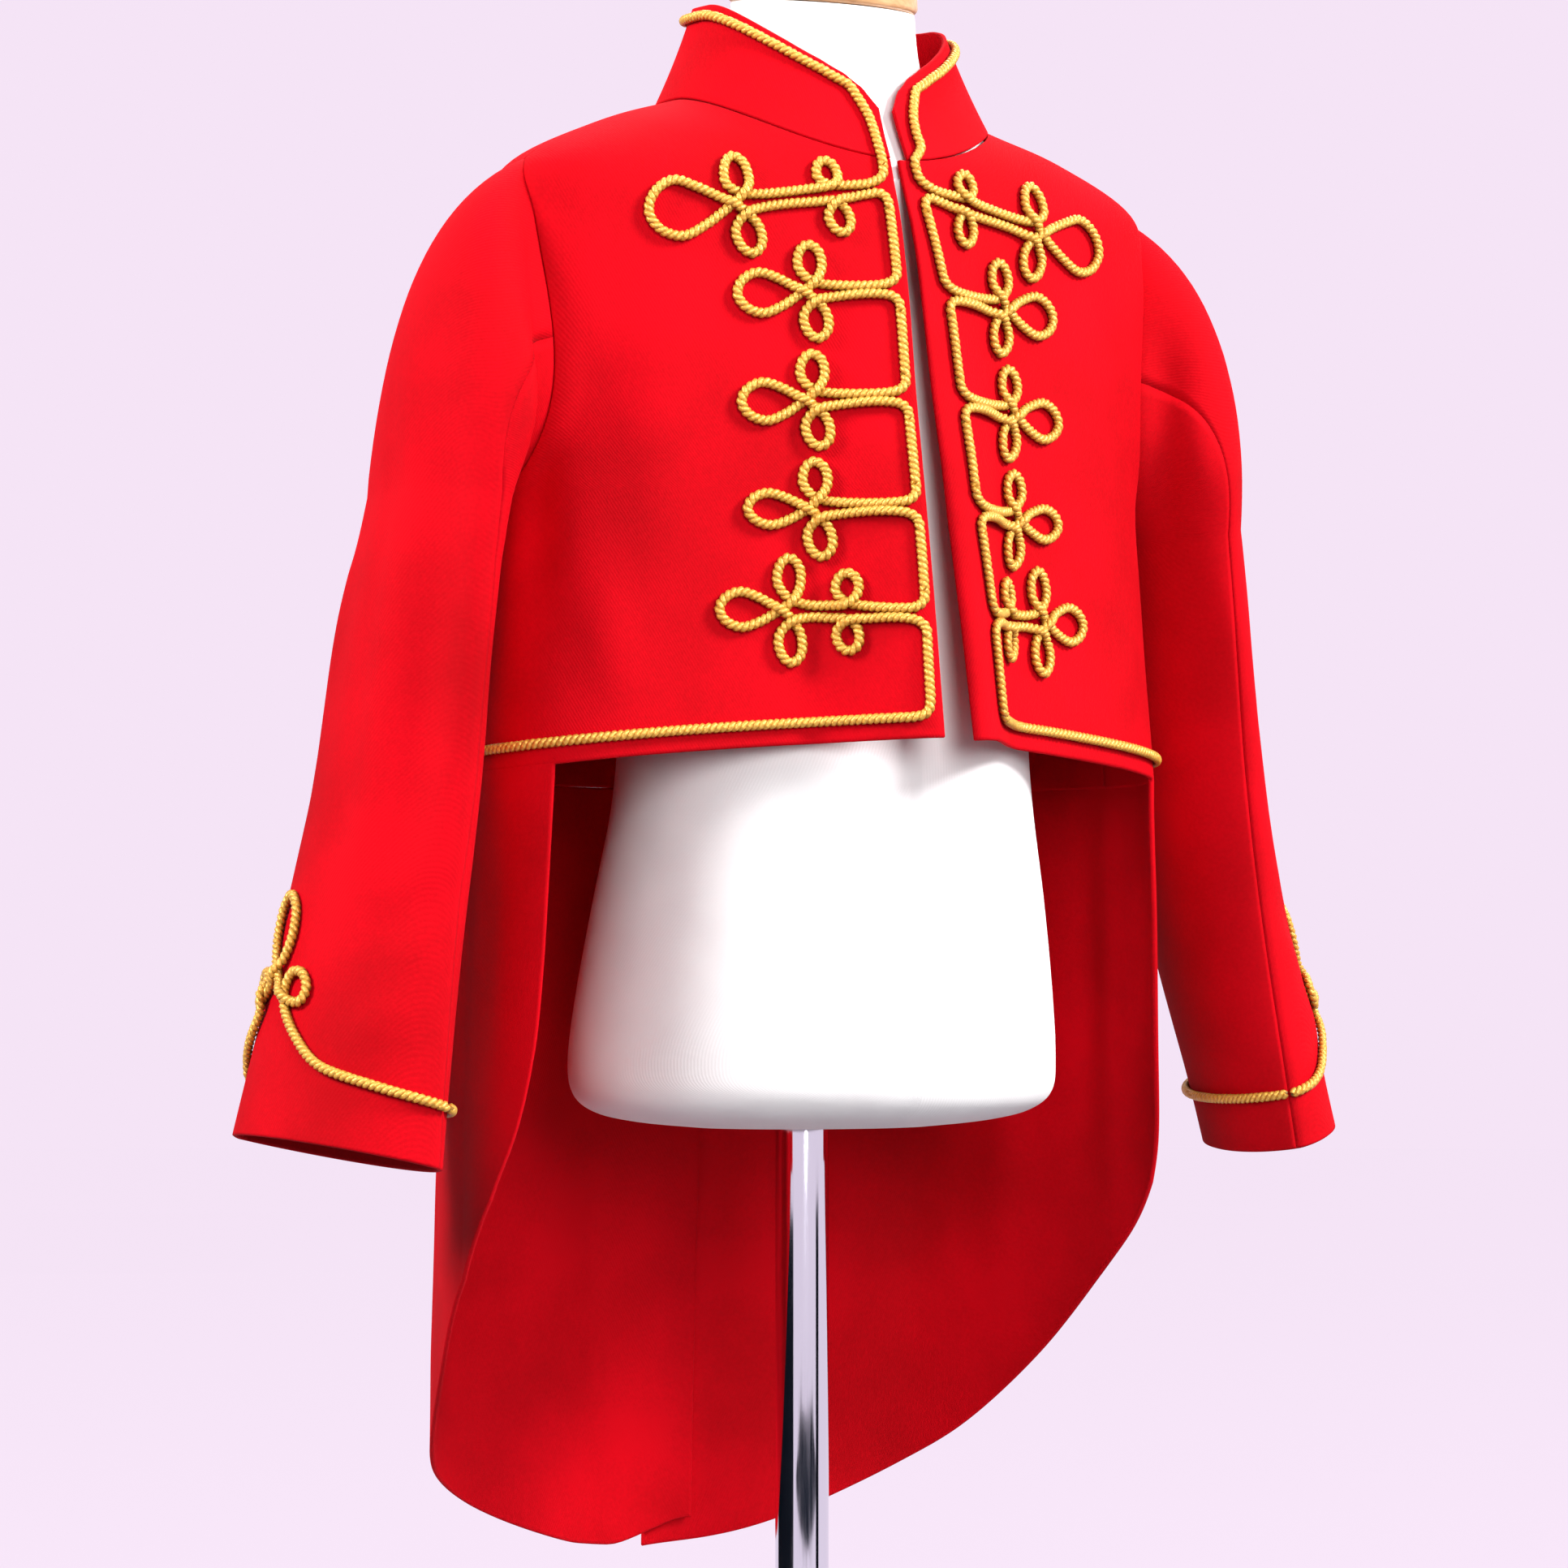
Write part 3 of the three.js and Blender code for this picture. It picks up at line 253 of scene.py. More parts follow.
def meshFrom(name, vertices, faces, material, uvs=None):
    mesh = bpy.data.meshes.new(name)
    mesh.from_pydata([tuple(v) for v in np.array(vertices) * metre], [], faces)
    mesh.polygons.foreach_set("use_smooth", [True] * len(mesh.polygons))
    if uvs is not None:
        layer = mesh.uv_layers.new(name="cut")
        corners = np.zeros(len(mesh.loops), dtype=np.int32)
        mesh.loops.foreach_get("vertex_index", corners)
        layer.data.foreach_set("uv", (np.array(uvs) * metre)[corners].ravel())
    mesh.materials.append(material)
    piece = bpy.data.objects.new(name, mesh)
    bpy.context.scene.collection.objects.link(piece)
    return piece


# a cloth of two skins with a rounded rim all round, and the cut's own lengths as its UV map
def clothWall(name, points, outs, material, sewn=()):
    rows, columns = points.shape[:2]
    half = coat["thickness"] / 2
    middle = points - outs * half

    def rimAt(side, edge, inside):
        return edge + unit(edge - inside) * coat["seamRim" if side in sewn else "rim"]

    bottom = rimAt("firstRow", middle[0], middle[1])
    top = rimAt("lastRow", middle[-1], middle[-2])
    left = rimAt("firstColumn", middle[:, 0], middle[:, 1])
    right = rimAt("lastColumn", middle[:, -1], middle[:, -2])
    vertices = np.vstack([points.reshape(-1, 3), (points - outs * 2 * half).reshape(-1, 3),
                          bottom, top, left, right])
    flat = np.stack([lengthsAlong(points, 1), lengthsAlong(points, 0)], axis=-1)
    skin = flat.reshape(-1, 2)
    uvs = np.vstack([skin, skin, flat[0], flat[-1], flat[:, 0], flat[:, -1]])

    def outer(i, j):
        return i * columns + j

    def inner(i, j):
        return rows * columns + i * columns + j

    start = 2 * rows * columns
    low, high = start, start + columns
    first, last = start + 2 * columns, start + 2 * columns + rows
    faces = []
    for i in range(rows - 1):
        for j in range(columns - 1):
            faces.append((outer(i, j), outer(i, j + 1), outer(i + 1, j + 1), outer(i + 1, j)))
            faces.append((inner(i, j), inner(i + 1, j), inner(i + 1, j + 1), inner(i, j + 1)))
    for j in range(columns - 1):
        faces.append((outer(0, j + 1), outer(0, j), low + j, low + j + 1))
        faces.append((inner(0, j), inner(0, j + 1), low + j + 1, low + j))
        faces.append((outer(rows - 1, j), outer(rows - 1, j + 1), high + j + 1, high + j))
        faces.append((inner(rows - 1, j + 1), inner(rows - 1, j), high + j, high + j + 1))
    for i in range(rows - 1):
        faces.append((outer(i, 0), outer(i + 1, 0), first + i + 1, first + i))
        faces.append((inner(i + 1, 0), inner(i, 0), first + i, first + i + 1))
        faces.append((outer(i + 1, columns - 1), outer(i, columns - 1), last + i, last + i + 1))
        faces.append((inner(i, columns - 1), inner(i + 1, columns - 1), last + i + 1, last + i))
    for i, j, rim, side in [(0, 0, low, first), (0, columns - 1, low + columns - 1, last),
                            (rows - 1, 0, high, first + rows - 1),
                            (rows - 1, columns - 1, high + columns - 1, last + rows - 1)]:
        turn = (i == 0) == (j == 0)
        faces.append((outer(i, j), side, rim) if turn else (outer(i, j), rim, side))
        faces.append((inner(i, j), rim, side) if turn else (inner(i, j), side, rim))
    if facesInward(points, outs):
        faces = [face[::-1] for face in faces]
    return meshFrom(name, vertices, faces, material, uvs)


# whether a grid's own winding looks away from its outward side
def facesInward(points, outs):
    i, j = points.shape[0] // 2, points.shape[1] // 2
    across = points[i, j + 1] - points[i, j]
    along = points[i + 1, j] - points[i, j]
    return np.cross(across, along) @ outs[i, j] < 0


# sleeves: one row for each level below the armhole
sleeve = {
    "tilt": 0.24,  # its rings lie square to its axis, which spreads this much
    "capRows": 26,
    "lowerRows": 64,
    # where the head turns down: shares of its way out, aside and down, and how far forward
    "capOut": 1.0,
    "capAside": 0.8,
    "capDown": 0.16,
    "capForward": 12,
    "flatness": 1.25,  # over 1 pulls its two broad sides flat
    "under": 0.15,  # how far it starts inside the armhole's edge, past the seam
    "frontSeam": 4 / 18,  # shares of the way round from the body's side
    "backSeam": 14 / 18,
}
sleeveKeys = "z x y depth thick lean".split()
sleeveRows = [dict(zip(sleeveKeys, row)) for row in [
    (584, 175, -9, 50, 21.5, -4),
    (533, 183.5, -8.5, 49.5, 23, 0),
    (472, 193, -10.5, 49, 24.5, 5),
    (415, 205, -14, 49, 25.5, 11),
    (357, 218.5, -19.5, 50, 26, 18),
    (330, 224.5, -22, 51, 26.5, 21),
]]


def sleeveRing(v, degrees):  # 0 faces the body, 90 is the front edge, 180 faces outwards
    row = rowAt(sleeveRows, v)
    angle = math.radians(degrees)
    side = math.cos(angle)
    across = -row["thick"] * math.copysign(abs(side) ** sleeve["flatness"], side)
    fore = -row["depth"] * math.sin(angle)
    lean = math.radians(row["lean"])
    x = across * math.cos(lean) + fore * math.sin(lean)
    y = fore * math.cos(lean) - across * math.sin(lean)
    return np.array([row["x"] + x, row["y"] + y, row["z"] + x * sleeve["tilt"]])


# the armhole's edge, from the underarm up the front to the shoulder and down the back
def armholeLoop():
    places = [("front", v) for v in armLevels] + [("back", v) for v in armLevels[-2:0:-1]]
    points = np.array([bodyPoint(half, v, 1 - armholeAt(half, v)) for half, v in places])
    outs = np.array([bodyNormal(half, v, 1 - armholeAt(half, v)) for half, v in places])
    for end in (0, armRows):
        v = armLevels[end]
        outs[end] = unit(bodyNormal("front", v, 1 - armholeAt("front", v))
                         + bodyNormal("back", v, 1 - armholeAt("back", v)))
    return points, outs


# the whole tube, from inside the armhole down to the cuff
def sleeveTube():
    loop, outs = armholeLoop()
    count = len(loop)
    inward = loop.mean(axis=0) - loop
    inward = unit(inward - outs * (inward * outs).sum(-1, keepdims=True))
    start = loop + inward * (2 * coat["seam"] + sleeve["under"])
    stub = start - outs * coat["thickness"]
    angles = [360 * j / count for j in range(count)]
    head = np.array([sleeveRing(0, a) for a in angles])
    shares = np.array([sleeve["capOut"], sleeve["capAside"], sleeve["capDown"]])
    corner = mix(start, head, shares) - np.array([0, sleeve["capForward"], 0])
    shares = steps(sleeve["capRows"])[1:]
    cap = [(1 - s) ** 2 * start + 2 * s * (1 - s) * corner + s * s * head for s in shares]
    span = len(sleeveRows) - 1
    down = [*steps(sleeve["lowerRows"])[1:-1], 0.994, 1]
    lower = [np.array([sleeveRing(s * span, a) for a in angles]) for s in down]
    points = np.array([stub, start, *cap, *lower])
    return points, outwardOf(points, True, points - points.mean(axis=1, keepdims=True))


# one of the sleeve's two cut pieces, between its front and back seams
def sleevePiece(points, outs, fromShare, toShare):
    count = points.shape[1]
    columns = [j % count for j in range(round(fromShare * count), round(toShare * count) + 1)]
    piece, pieceOuts = points[:, columns].copy(), outs[:, columns]
    inset = coat["seam"] + coat["seamRim"]
    for end, near in ((0, 1), (-1, -2)):
        piece[:, end] += unit(piece[:, near] - piece[:, end]) * inset
    return piece, pieceOuts


# collar: the height of the stand by its distance from the front end, as a share of half its length
collar = {
    "rows": 14,
    "columns": 180,
    "halfLength": 205,
    "starts": {"left": 0.02, "right": 0},
    "rise": 0.9,  # from the neck seam up to its lower edge
    "cordDrop": 5.5,  # from its upper edge down to the cord
}
collarHeights = [(0, 21), (0.03, 29), (0.07, 33.5), (0.13, 36), (0.22, 37.5), (0.5, 40.5), (1, 43)]
collarLean = [(0, 0.42), (0.5, 0.46), (1, 0.22)]
neckRow = rowAt(bodyRows, neckLevel)
neckFirst = neckRow["gap"] / (3 * neckRow["full"] * neckRow["width"])
neckMiddleY = -8  # where the collar leans in to
collarMiddle = np.array([0, -17, 0])
horizontal = np.array([1, 1, 0])


def collarPoint(side, share):  # side runs from -1 at the right front end to 1 at the left one
    fromFront = 1 - abs(side)
    if fromFront < 0.5:
        neck = ringPoint(neckRow, "front", mix(neckFirst, 1, fromFront * 2))
    else:
        neck = ringPoint(neckRow, "back", (1 - fromFront) * 2)
    start = collar["starts"]["left" if side > 0 else "right"]
    height = lookUp(collarHeights, fromFront - start)
    inward = unit(np.array([-neck[0], neckMiddleY - neck[1], 0]))
    lean = lookUp(collarLean, fromFront) * height * share * (1.2 - 0.2 * share)
    point = neck + inward * lean + np.array([0, 0, collar["rise"] + height * share])
    point[0] *= -1 if side < 0 else 1
    return point


def collarGrid():
    places = []
    for s in edged(collar["columns"], 0.003):
        side = 2 * s - 1
        start = collar["starts"]["left" if side > 0 else "right"]
        places.append(math.copysign(1 - mix(start, 1, (1 - abs(side)) ** 1.35), side))
    shares = edged(collar["rows"], 0.02)
    points = np.array([[collarPoint(side, share) for side in places] for share in shares])
    return points, outwardOf(points, False, (points - collarMiddle) * horizontal)


# tails: the cut edge laid flat, as distance round the waist from the centre back, and height
tail = {
    "rows": 96,
    "columns": 110,
    "waistGap": 0.02,  # from the waist seam down to its top edge
    "lap": 20,  # how far the right tail runs past the centre back
    "flareOut": 0.02,
    "flareBack": 0.16,
    "top": 482,
    "floor": 150,
    "waistHalf": 155,  # half the waist's width, and its depth at the back
    "waistDepth": 110,
    "ripple": 4.5,
    "rippleLength": 118,
}
tailMiddle = np.array([0, -30, 0])
tailHem = [dict(round=r, z=z) for r, z in [
    (0, 151), (30, 154), (56, 160), (84, 170), (112, 184),
    (141, 203), (176, 235), (205, 269), (224, 291), (238, 310),
]]
tailFront = [dict(round=r, z=z) for r, z in [
    (238, 310), (250, 336), (257, 367), (260, 400), (262, 440), (264, 486),
]]
waistPoints = np.array([ringPoint(bodyRows[0], "back", t) for t in steps(60)]
                       + [ringPoint(bodyRows[0], "front", 1 - t) for t in steps(60)[1:]])
waistRound = np.concatenate([[0], np.cumsum(np.linalg.norm(np.diff(waistPoints[:, :2], axis=0), axis=1))])


def waistAt(distance):
    point = np.array([np.interp(abs(distance), waistRound, waistPoints[:, k]) for k in range(3)])
    point[0] *= -1 if distance < 0 else 1
    return point


def tailPoint(distance, z, lapDepth):
    waist = waistAt(distance)
    fall = clamp((tail["top"] - z) / (tail["top"] - tail["floor"]), 0, 1.05)
    flare = 1 - (1 - clamp(fall)) ** 1.6
    wave = math.cos(2 * math.pi * distance / tail["rippleLength"])
    ripple = tail["ripple"] * fall * wave * smooth(0, 60, 300 - distance)
    under = lapDepth * smooth(34, 18, distance)
    outX, outY = waist[0] / tail["waistHalf"], max(0, waist[1]) / tail["waistDepth"]
    size = math.hypot(outX, outY) or 1
    x = waist[0] * (1 + tail["flareOut"] * flare) + ripple * outX / size
    back = tail["waistDepth"] * tail["flareBack"] * flare * clamp(waist[1] / tail["waistDepth"])
    return np.array([x, waist[1] + back + (ripple - under) * outY / size, z])


# fills a tail's flat outline from its four sides
def tailFlat(u, v, inner):
    def top(s):
        distance = mix(inner, tailFront[-1]["round"], s)
        return np.array([distance, waistAt(distance)[2] - tail["waistGap"]])

    def bottom(s):
        row = rowAt(tailHem, s * (len(tailHem) - 1))
        lap = inner * (1 - smooth(0, 0.16, s))
        return np.array([row["round"] + lap, row["z"] + (12 * smooth(0.1, 0, s) if inner < 0 else 0)])

    def frontEdge(s):
        row = rowAt(tailFront, s * (len(tailFront) - 1))
        return np.array([row["round"], min(row["z"], waistAt(row["round"])[2] - tail["waistGap"])])

    innerEdge = np.array([inner, mix(bottom(0)[1], top(0)[1], v)])
    corners = mix(mix(bottom(0), bottom(1), u), mix(top(0), top(1), u), v)
    return mix(innerEdge, frontEdge(v), u) + mix(bottom(u), top(u), v) - corners


def tailGrid(inner, lapDepth):
    columns, rows = edged(tail["columns"], 0.004), edged(tail["rows"], 0.004)
    points = np.array([[tailPoint(*tailFlat(u, v, inner), lapDepth) for u in columns] for v in rows])
    return points, outwardOf(points, False, (points - tailMiddle) * horizontal)


# cords: where each one runs on its piece of cloth
cord = {
    "width": 4.4,
    "height": 3.9,  # from the cloth to the top of the lay
    "strands": 2,
    "strandRadius": 1.2,
    "twist": 5.0,  # one full turn of the two strands
    "step": 0.5,
    "sides": 6,
    "overpass": 2.6,  # how far it climbs where it lies over itself
    "clearOf": 3.4,  # how near an earlier stretch makes it climb
    "pathStep": 1.2,
}
cordInsets = {
    "left": [(490, 17), (545, 16), (590, 12.5), (660, 12), (705, 7), (730, 5.5)],
    "right": [(490, 5.5), (560, 4.5), (730, 5)],
}
frogKeys = "z curls high above wide tip loop droop".split()
frogs = [dict(zip(frogKeys, row)) for row in [
    (713, [24.5, 64.5], [16, 18.8], 0.74, [4.4, 5.2], 104, 9.3, 11.5),
    (670.5, [35.5], [18.6], 1, [4.9], 67, 7.8, 3.5),
    (626.5, [37], [18.6], 1, [4.9], 67.5, 7.6, 2),
    (582, [39.5], [18.8], 1, [5], 68.5, 6.2, 0),
    (539.5, [30.5, 54.5], [15.4, 20.5], 1, [4.6, 4.8], 83, 6.8, -3.5),
]]
barHalf, turnReach, droopFrom, hemCordZ, hemCordLength = 2.45, 9.2, 9, 499, 196


def insetAt(side, z):
    return lookUp(cordInsets[side], z)


# the place on a front at a distance along from its edge and a height up that edge
def onGrid(points, outs, along, height):
    edge = points[:, 0, 2]
    i = int(np.clip(np.searchsorted(edge, height) - 1, 0, len(edge) - 2))
    share = (height - edge[i]) / (edge[i + 1] - edge[i])
    row, rowOuts = mix(points[i], points[i + 1], share), mix(outs[i], outs[i + 1], share)
    gone = np.concatenate([[0], np.cumsum(np.linalg.norm(np.diff(row, axis=0), axis=1))])
    point = [np.interp(along, gone, row[:, k]) for k in range(3)]
    return np.array([*point, *[np.interp(along, gone, rowOuts[:, k]) for k in range(3)]])


# the upper half of a frog's line, from the edge cord out to the tip of the end loop
def frogHalf(frog, lift):
    line = [(0, turnReach), (0.3, 5.5), (3.5, barHalf + 0.2)]
    for i, (at, high, w) in enumerate(zip(frog["curls"], frog["high"], frog["wide"])):
        h = high * lift
        line += [(at - 8, barHalf), (at + 0.5, 0.16 * h + 1.6), (at + w, 0.52 * h),
                 (at + 0.7 * w, 0.87 * h), (at - 0.4, h), (at - 0.9 * w, 0.85 * h),
                 (at - w, 0.5 * h), (at - 1, 0.14 * h + 1)]
        if i < len(frog["curls"]) - 1:
            line.append((at + 8, barHalf))
    last, tip, loop = frog["curls"][-1], frog["tip"], frog["loop"]
    return line + [(last + 5.5, -0.8), (mix(last, tip, 0.45), -0.72 * loop), (mix(last, tip, 0.7), -loop),
                   (mix(last, tip, 0.92), -0.62 * loop), (tip, 0)]


def frogPath(points, outs, frog, side):
    below = [(out, -up) for out, up in frogHalf(frog, 1)[-2::-1]]
    path = []
    for out, up in curveThrough(frogHalf(frog, frog["above"]) + below, cord["pathStep"]):
        settled = smooth(0, droopFrom, out)  # the droop sets in past the edge cord
        turn = math.radians(frog["droop"]) * settled
        along = out * math.cos(turn) + up * math.sin(turn)
        z = frog["z"] + up * math.cos(turn) - out * math.sin(turn)
        path.append(onGrid(points, outs, insetAt(side, mix(z, frog["z"], settled)) + along, z))
    return np.array(path)


def edgePath(points, outs, side, start, end):
    count = max(2, round(abs(end - start) / cord["pathStep"]))
    return np.array([onGrid(points, outs, insetAt(side, z), z) for z in np.linspace(start, end, count)])


def hemPath(points, outs, side):
    corner = insetAt(side, hemCordZ)
    top = frogs[-1]["z"] - turnReach
    down = [(insetAt(side, z), z) for z in np.linspace(top, hemCordZ + 6.5, 9)]
    turned = [(corner + 0.5, hemCordZ + 3), (corner + 2.2, hemCordZ + 0.9), (corner + 6, hemCordZ)]
    hem = [(along, hemCordZ) for along in np.linspace(corner + 12, hemCordLength, 20)]
    line = curveThrough([*down, *turned, *hem], cord["pathStep"])
    return np.array([onGrid(points, outs, along, z) for along, z in line])


def onCollar(side, share):
    e = 0.002
    point = collarPoint(side, share)
    across = collarPoint(side + e, share) - collarPoint(side - e, share)
    up = collarPoint(side, share + 0.02) - collarPoint(side, share - 0.02)
    out = unit(np.cross(across, up))
    return [*point, *(-out if out @ ((point - collarMiddle) * horizontal) < 0 else out)]


# up the front edge, round the collar's rounded end and along it to the centre back
def collarCordHalf(points, outs, side, sign):
    seam = bodyRows[neckLevel]["zFront"] - 1
    start = collar["starts"][side]
    first = start + insetAt(side, seam) / collar["halfLength"]
    rise = [(first + on, share) for on, share in ((0, 0.12), (0.002, 0.34), (0.008, 0.55), (0.022, 0.71))]
    lane = [(at, 1 - collar["cordDrop"] / lookUp(collarHeights, at - start))
            for at in np.linspace(first + 0.045, 1, 60)]
    front = [*edgePath(points, outs, side, frogs[0]["z"] + turnReach, seam)]
    return front + [onCollar(sign * (1 - at), share) for at, share in [*rise, *lane]]


# places of a path, with their directions, on one smooth curve
def smoothed(path):
    sparse = path[:: max(1, len(path) // 90)] if len(path) > 180 else path
    path = curveThrough(sparse, cord["pathStep"])
    path[:, 3:] = unit(path[:, 3:])
    return path


# cuff knots: the front half of the line laid flat, distance round and height over the cuff
knotHalf = [
    (32, 30), (19, 40), (10, 51), (8.5, 58), (12, 64.5), (18.5, 64.5), (22, 59), (19.5, 53.5),
    (13.5, 53), (7, 57), (1, 63), (-4.5, 71), (-8, 81), (-6.5, 91), (0, 96),
]
cuff = {
    "lineHeight": 23,
    "seam": 62.5,  # from the outside of the sleeve to the line's ends, near its two seams
    "under": 56.5,  # the same from the side that faces the body
}


# the place on one piece of a sleeve by the distance round from its middle and the height over the
# cuff, which is taken up the outside of the upper piece
def onSleeve(points, outs, around, height, upper=None):
    guide = points if upper is None else upper
    spine = guide[::-1, (guide.shape[1] - 1) // 2]
    outside = (points.shape[1] - 1) // 2
    climbed = np.concatenate([[0], np.cumsum(np.linalg.norm(np.diff(spine, axis=0), axis=1))])
    i = int(np.clip(np.searchsorted(climbed, height) - 1, 0, len(climbed) - 2))
    rise = (height - climbed[i]) / (climbed[i + 1] - climbed[i])
    low, high = len(points) - 1 - i, len(points) - 2 - i
    row, rowOuts = mix(points[low], points[high], rise), mix(outs[low], outs[high], rise)
    if around > 0:
        row, rowOuts = row[outside::-1], rowOuts[outside::-1]
    else:
        row, rowOuts = row[outside:], rowOuts[outside:]
    gone = np.concatenate([[0], np.cumsum(np.linalg.norm(np.diff(row, axis=0), axis=1))])
    point = [np.interp(abs(around), gone, row[:, k]) for k in range(3)]
    return np.array([*point, *[np.interp(abs(around), gone, rowOuts[:, k]) for k in range(3)]])


def cuffPath(points, outs, turn):
    def side(end):
        height = cuff["lineHeight"]
        return [(end, height), (mix(knotHalf[0][0], end, 0.45), height + 2.4), *knotHalf]

    back = [(-around, up) for around, up in side(cuff["seam"] + turn)[-2::-1]]
    line = curveThrough([*side(cuff["seam"] - turn), *back], cord["pathStep"])
    return np.array([onSleeve(points, outs, around + turn, up) for around, up in line])


# the rest of the cuff's line, round the under sleeve from one seam to the other
def cuffUnderPath(points, outs, upper):
    places = np.linspace(-cuff["under"], cuff["under"], 96)
    return np.array([onSleeve(points, outs, around, cuff["lineHeight"], upper) for around in places])


# lifts a cord off the cloth by its own half height, and over itself where it crosses
def overItself(path):
    places, outs = path[:, :3], unit(path[:, 3:])
    apart = np.linalg.norm(places[:, None] - places[None], axis=-1)
    count = len(places)
    earlier = np.arange(count)[:, None] - np.arange(count)[None] > 9
    nearest = np.where(earlier, apart, 99).min(axis=1)
    climb = np.clip(1 - (nearest - 1) / cord["clearOf"], 0, 1) * cord["overpass"]
    kernel = np.hanning(9) / np.hanning(9).sum()
    climb = np.convolve(np.pad(climb, 4, mode="edge"), kernel, mode="valid")
    lift = cord["height"] / 2 + climb
    return np.hstack([places + outs * lift[:, None], outs])


# adds a node with its settings; an input is a value or the socket that feeds it
def addNode(tree, kind, settings=None, inputs=None):
    node = tree.nodes.new(kind)
    for name, value in (settings or {}).items():
        setattr(node, name, value)
    for name, value in (inputs or {}).items():
        if isinstance(value, bpy.types.NodeSocket):
            tree.links.new(value, node.inputs[name])
        else:
            node.inputs[name].default_value = value
    return node


def linear(hexColour):
    values = [int(hexColour[i:i + 2], 16) / 255 for i in (1, 3, 5)]
    return (*[c / 12.92 if c <= 0.04045 else ((c + 0.055) / 1.055) ** 2.4 for c in values], 1)


def newMaterial(name):
    material = bpy.data.materials.new(name)
    material.use_nodes = True
    tree = material.node_tree
    return material, tree, tree.nodes["Principled BSDF"]


def ramp(tree, factor, stops):
    node = addNode(tree, "ShaderNodeValToRGB", inputs={"Fac": factor})
    elements = node.color_ramp.elements
    while len(elements) < len(stops):
        elements.new(0.5)
    for element, (at, colour) in zip(elements, stops):
        element.position = at
        element.color = linear(colour)
    return node.outputs["Color"]


def bandScale(spacing):  # the wave texture's scale that sets its bands this many millimetres apart
    return 2 * math.pi / (20 * spacing * metre)


# milled wool gabardine: a fine twill under a short nap, which catches light along its folds
def woolCloth():
    look = {
        "red": "#cb0012",
        "deep": "#ad000b",
        "thread": 1.1,
        "patch": 70,
        "twill": 0.0001,
        "nap": 0.00012,
    }
    material, tree, shader = newMaterial("woolGabardine")
    cut = addNode(tree, "ShaderNodeUVMap", {"uv_map": "cut"}).outputs["UV"]
    place = addNode(tree, "ShaderNodeTexCoord").outputs["Object"]
    # the real thread spacing is 0.5 mm, drawn coarser so that it shows
    turned = addNode(tree, "ShaderNodeMapping", inputs={
        "Vector": cut, "Rotation": (0, 0, math.radians(27))})
    twill = addNode(tree, "ShaderNodeTexWave", {"wave_profile": "SIN"}, {
        "Vector": turned.outputs["Vector"], "Scale": bandScale(look["thread"]),
        "Distortion": 1.2, "Detail": 1.0, "Detail Scale": 2.0})
    nap = addNode(tree, "ShaderNodeTexNoise", inputs={
        "Vector": place, "Scale": 1 / (1.6 * metre), "Detail": 3.0, "Roughness": 0.6})
    patch = addNode(tree, "ShaderNodeTexNoise", inputs={
        "Vector": place, "Scale": 1 / (look["patch"] * metre), "Detail": 3.0, "Roughness": 0.5})
    mixed = addNode(tree, "ShaderNodeMath", {"operation": "MULTIPLY_ADD"}, {
        0: nap.outputs["Fac"], 1: 0.35, 2: patch.outputs["Fac"]})
    colour = ramp(tree, mixed.outputs["Value"], [(0.45, look["deep"]), (0.8, look["red"])])
    tree.links.new(colour, shader.inputs["Base Color"])
    woven = addNode(tree, "ShaderNodeBump", inputs={
        "Height": twill.outputs["Fac"], "Strength": 0.5, "Distance": look["twill"]})
    napped = addNode(tree, "ShaderNodeBump", inputs={
        "Height": nap.outputs["Fac"], "Strength": 0.6, "Distance": look["nap"],
        "Normal": woven.outputs["Normal"]})
    tree.links.new(napped.outputs["Normal"], shader.inputs["Normal"])
    shader.inputs["Roughness"].default_value = 0.8
    shader.inputs["Specular IOR Level"].default_value = 0.05
    shader.inputs["Sheen Weight"].default_value = 0.07
    shader.inputs["Sheen Roughness"].default_value = 0.4
    shader.inputs["Sheen Tint"].default_value = linear("#ff4a58")
    return material


# gilt rayon cord, two strands laid together, with painted shade: dull olive down between the strands and
# bright on their crowns
def giltCord():
    look = {"crown": "#dba948", "mid": "#bb8a28", "low": "#5c420c", "wrap": 0.9}
    material, tree, shader = newMaterial("giltRayonCord")
    lay = addNode(tree, "ShaderNodeAttribute", {"attribute_name": "lay"}).outputs["Fac"]
    along = addNode(tree, "ShaderNodeAttribute", {"attribute_name": "along"}).outputs["Fac"]
    place = addNode(tree, "ShaderNodeTexCoord").outputs["Object"]
    fibre = addNode(tree, "ShaderNodeTexNoise", inputs={
        "Vector": place, "Scale": 1 / (0.8 * metre), "Detail": 3.0, "Roughness": 0.6})
    # painted shade: the colour darkens from the crown colour to olive where a strand lies low in the lay,
    # and fibre noise varies it
    height = addNode(tree, "ShaderNodeMath", {"operation": "MULTIPLY_ADD"}, {0: lay, 1: 0.42, 2: 0.28})
    fibreToneAndPaintedShade = addNode(tree, "ShaderNodeMath", {"operation": "MULTIPLY_ADD"}, {
        0: fibre.outputs["Fac"], 1: 0.5, 2: height.outputs["Value"]})
    shades = [(0.12, look["low"]), (0.5, look["mid"]), (0.92, look["crown"])]
    colour = ramp(tree, fibreToneAndPaintedShade.outputs["Value"], shades)
    tree.links.new(colour, shader.inputs["Base Color"])
    # the metallised thread is wound round each strand at 0.3 mm, drawn at 0.9 mm so that it shows
    turns = addNode(tree, "ShaderNodeMath", {"operation": "MULTIPLY"}, {
        0: along, 1: 2 * math.pi / (look["wrap"] * metre)})
    wound = addNode(tree, "ShaderNodeMath", {"operation": "SINE"}, {0: turns.outputs["Value"]})
    bump = addNode(tree, "ShaderNodeBump", inputs={
        "Height": wound.outputs["Value"], "Strength": 0.5, "Distance": 0.00012})
    tree.links.new(bump.outputs["Normal"], shader.inputs["Normal"])
    shader.inputs["Metallic"].default_value = 0.3
    shader.inputs["Roughness"].default_value = 0.42
    return material


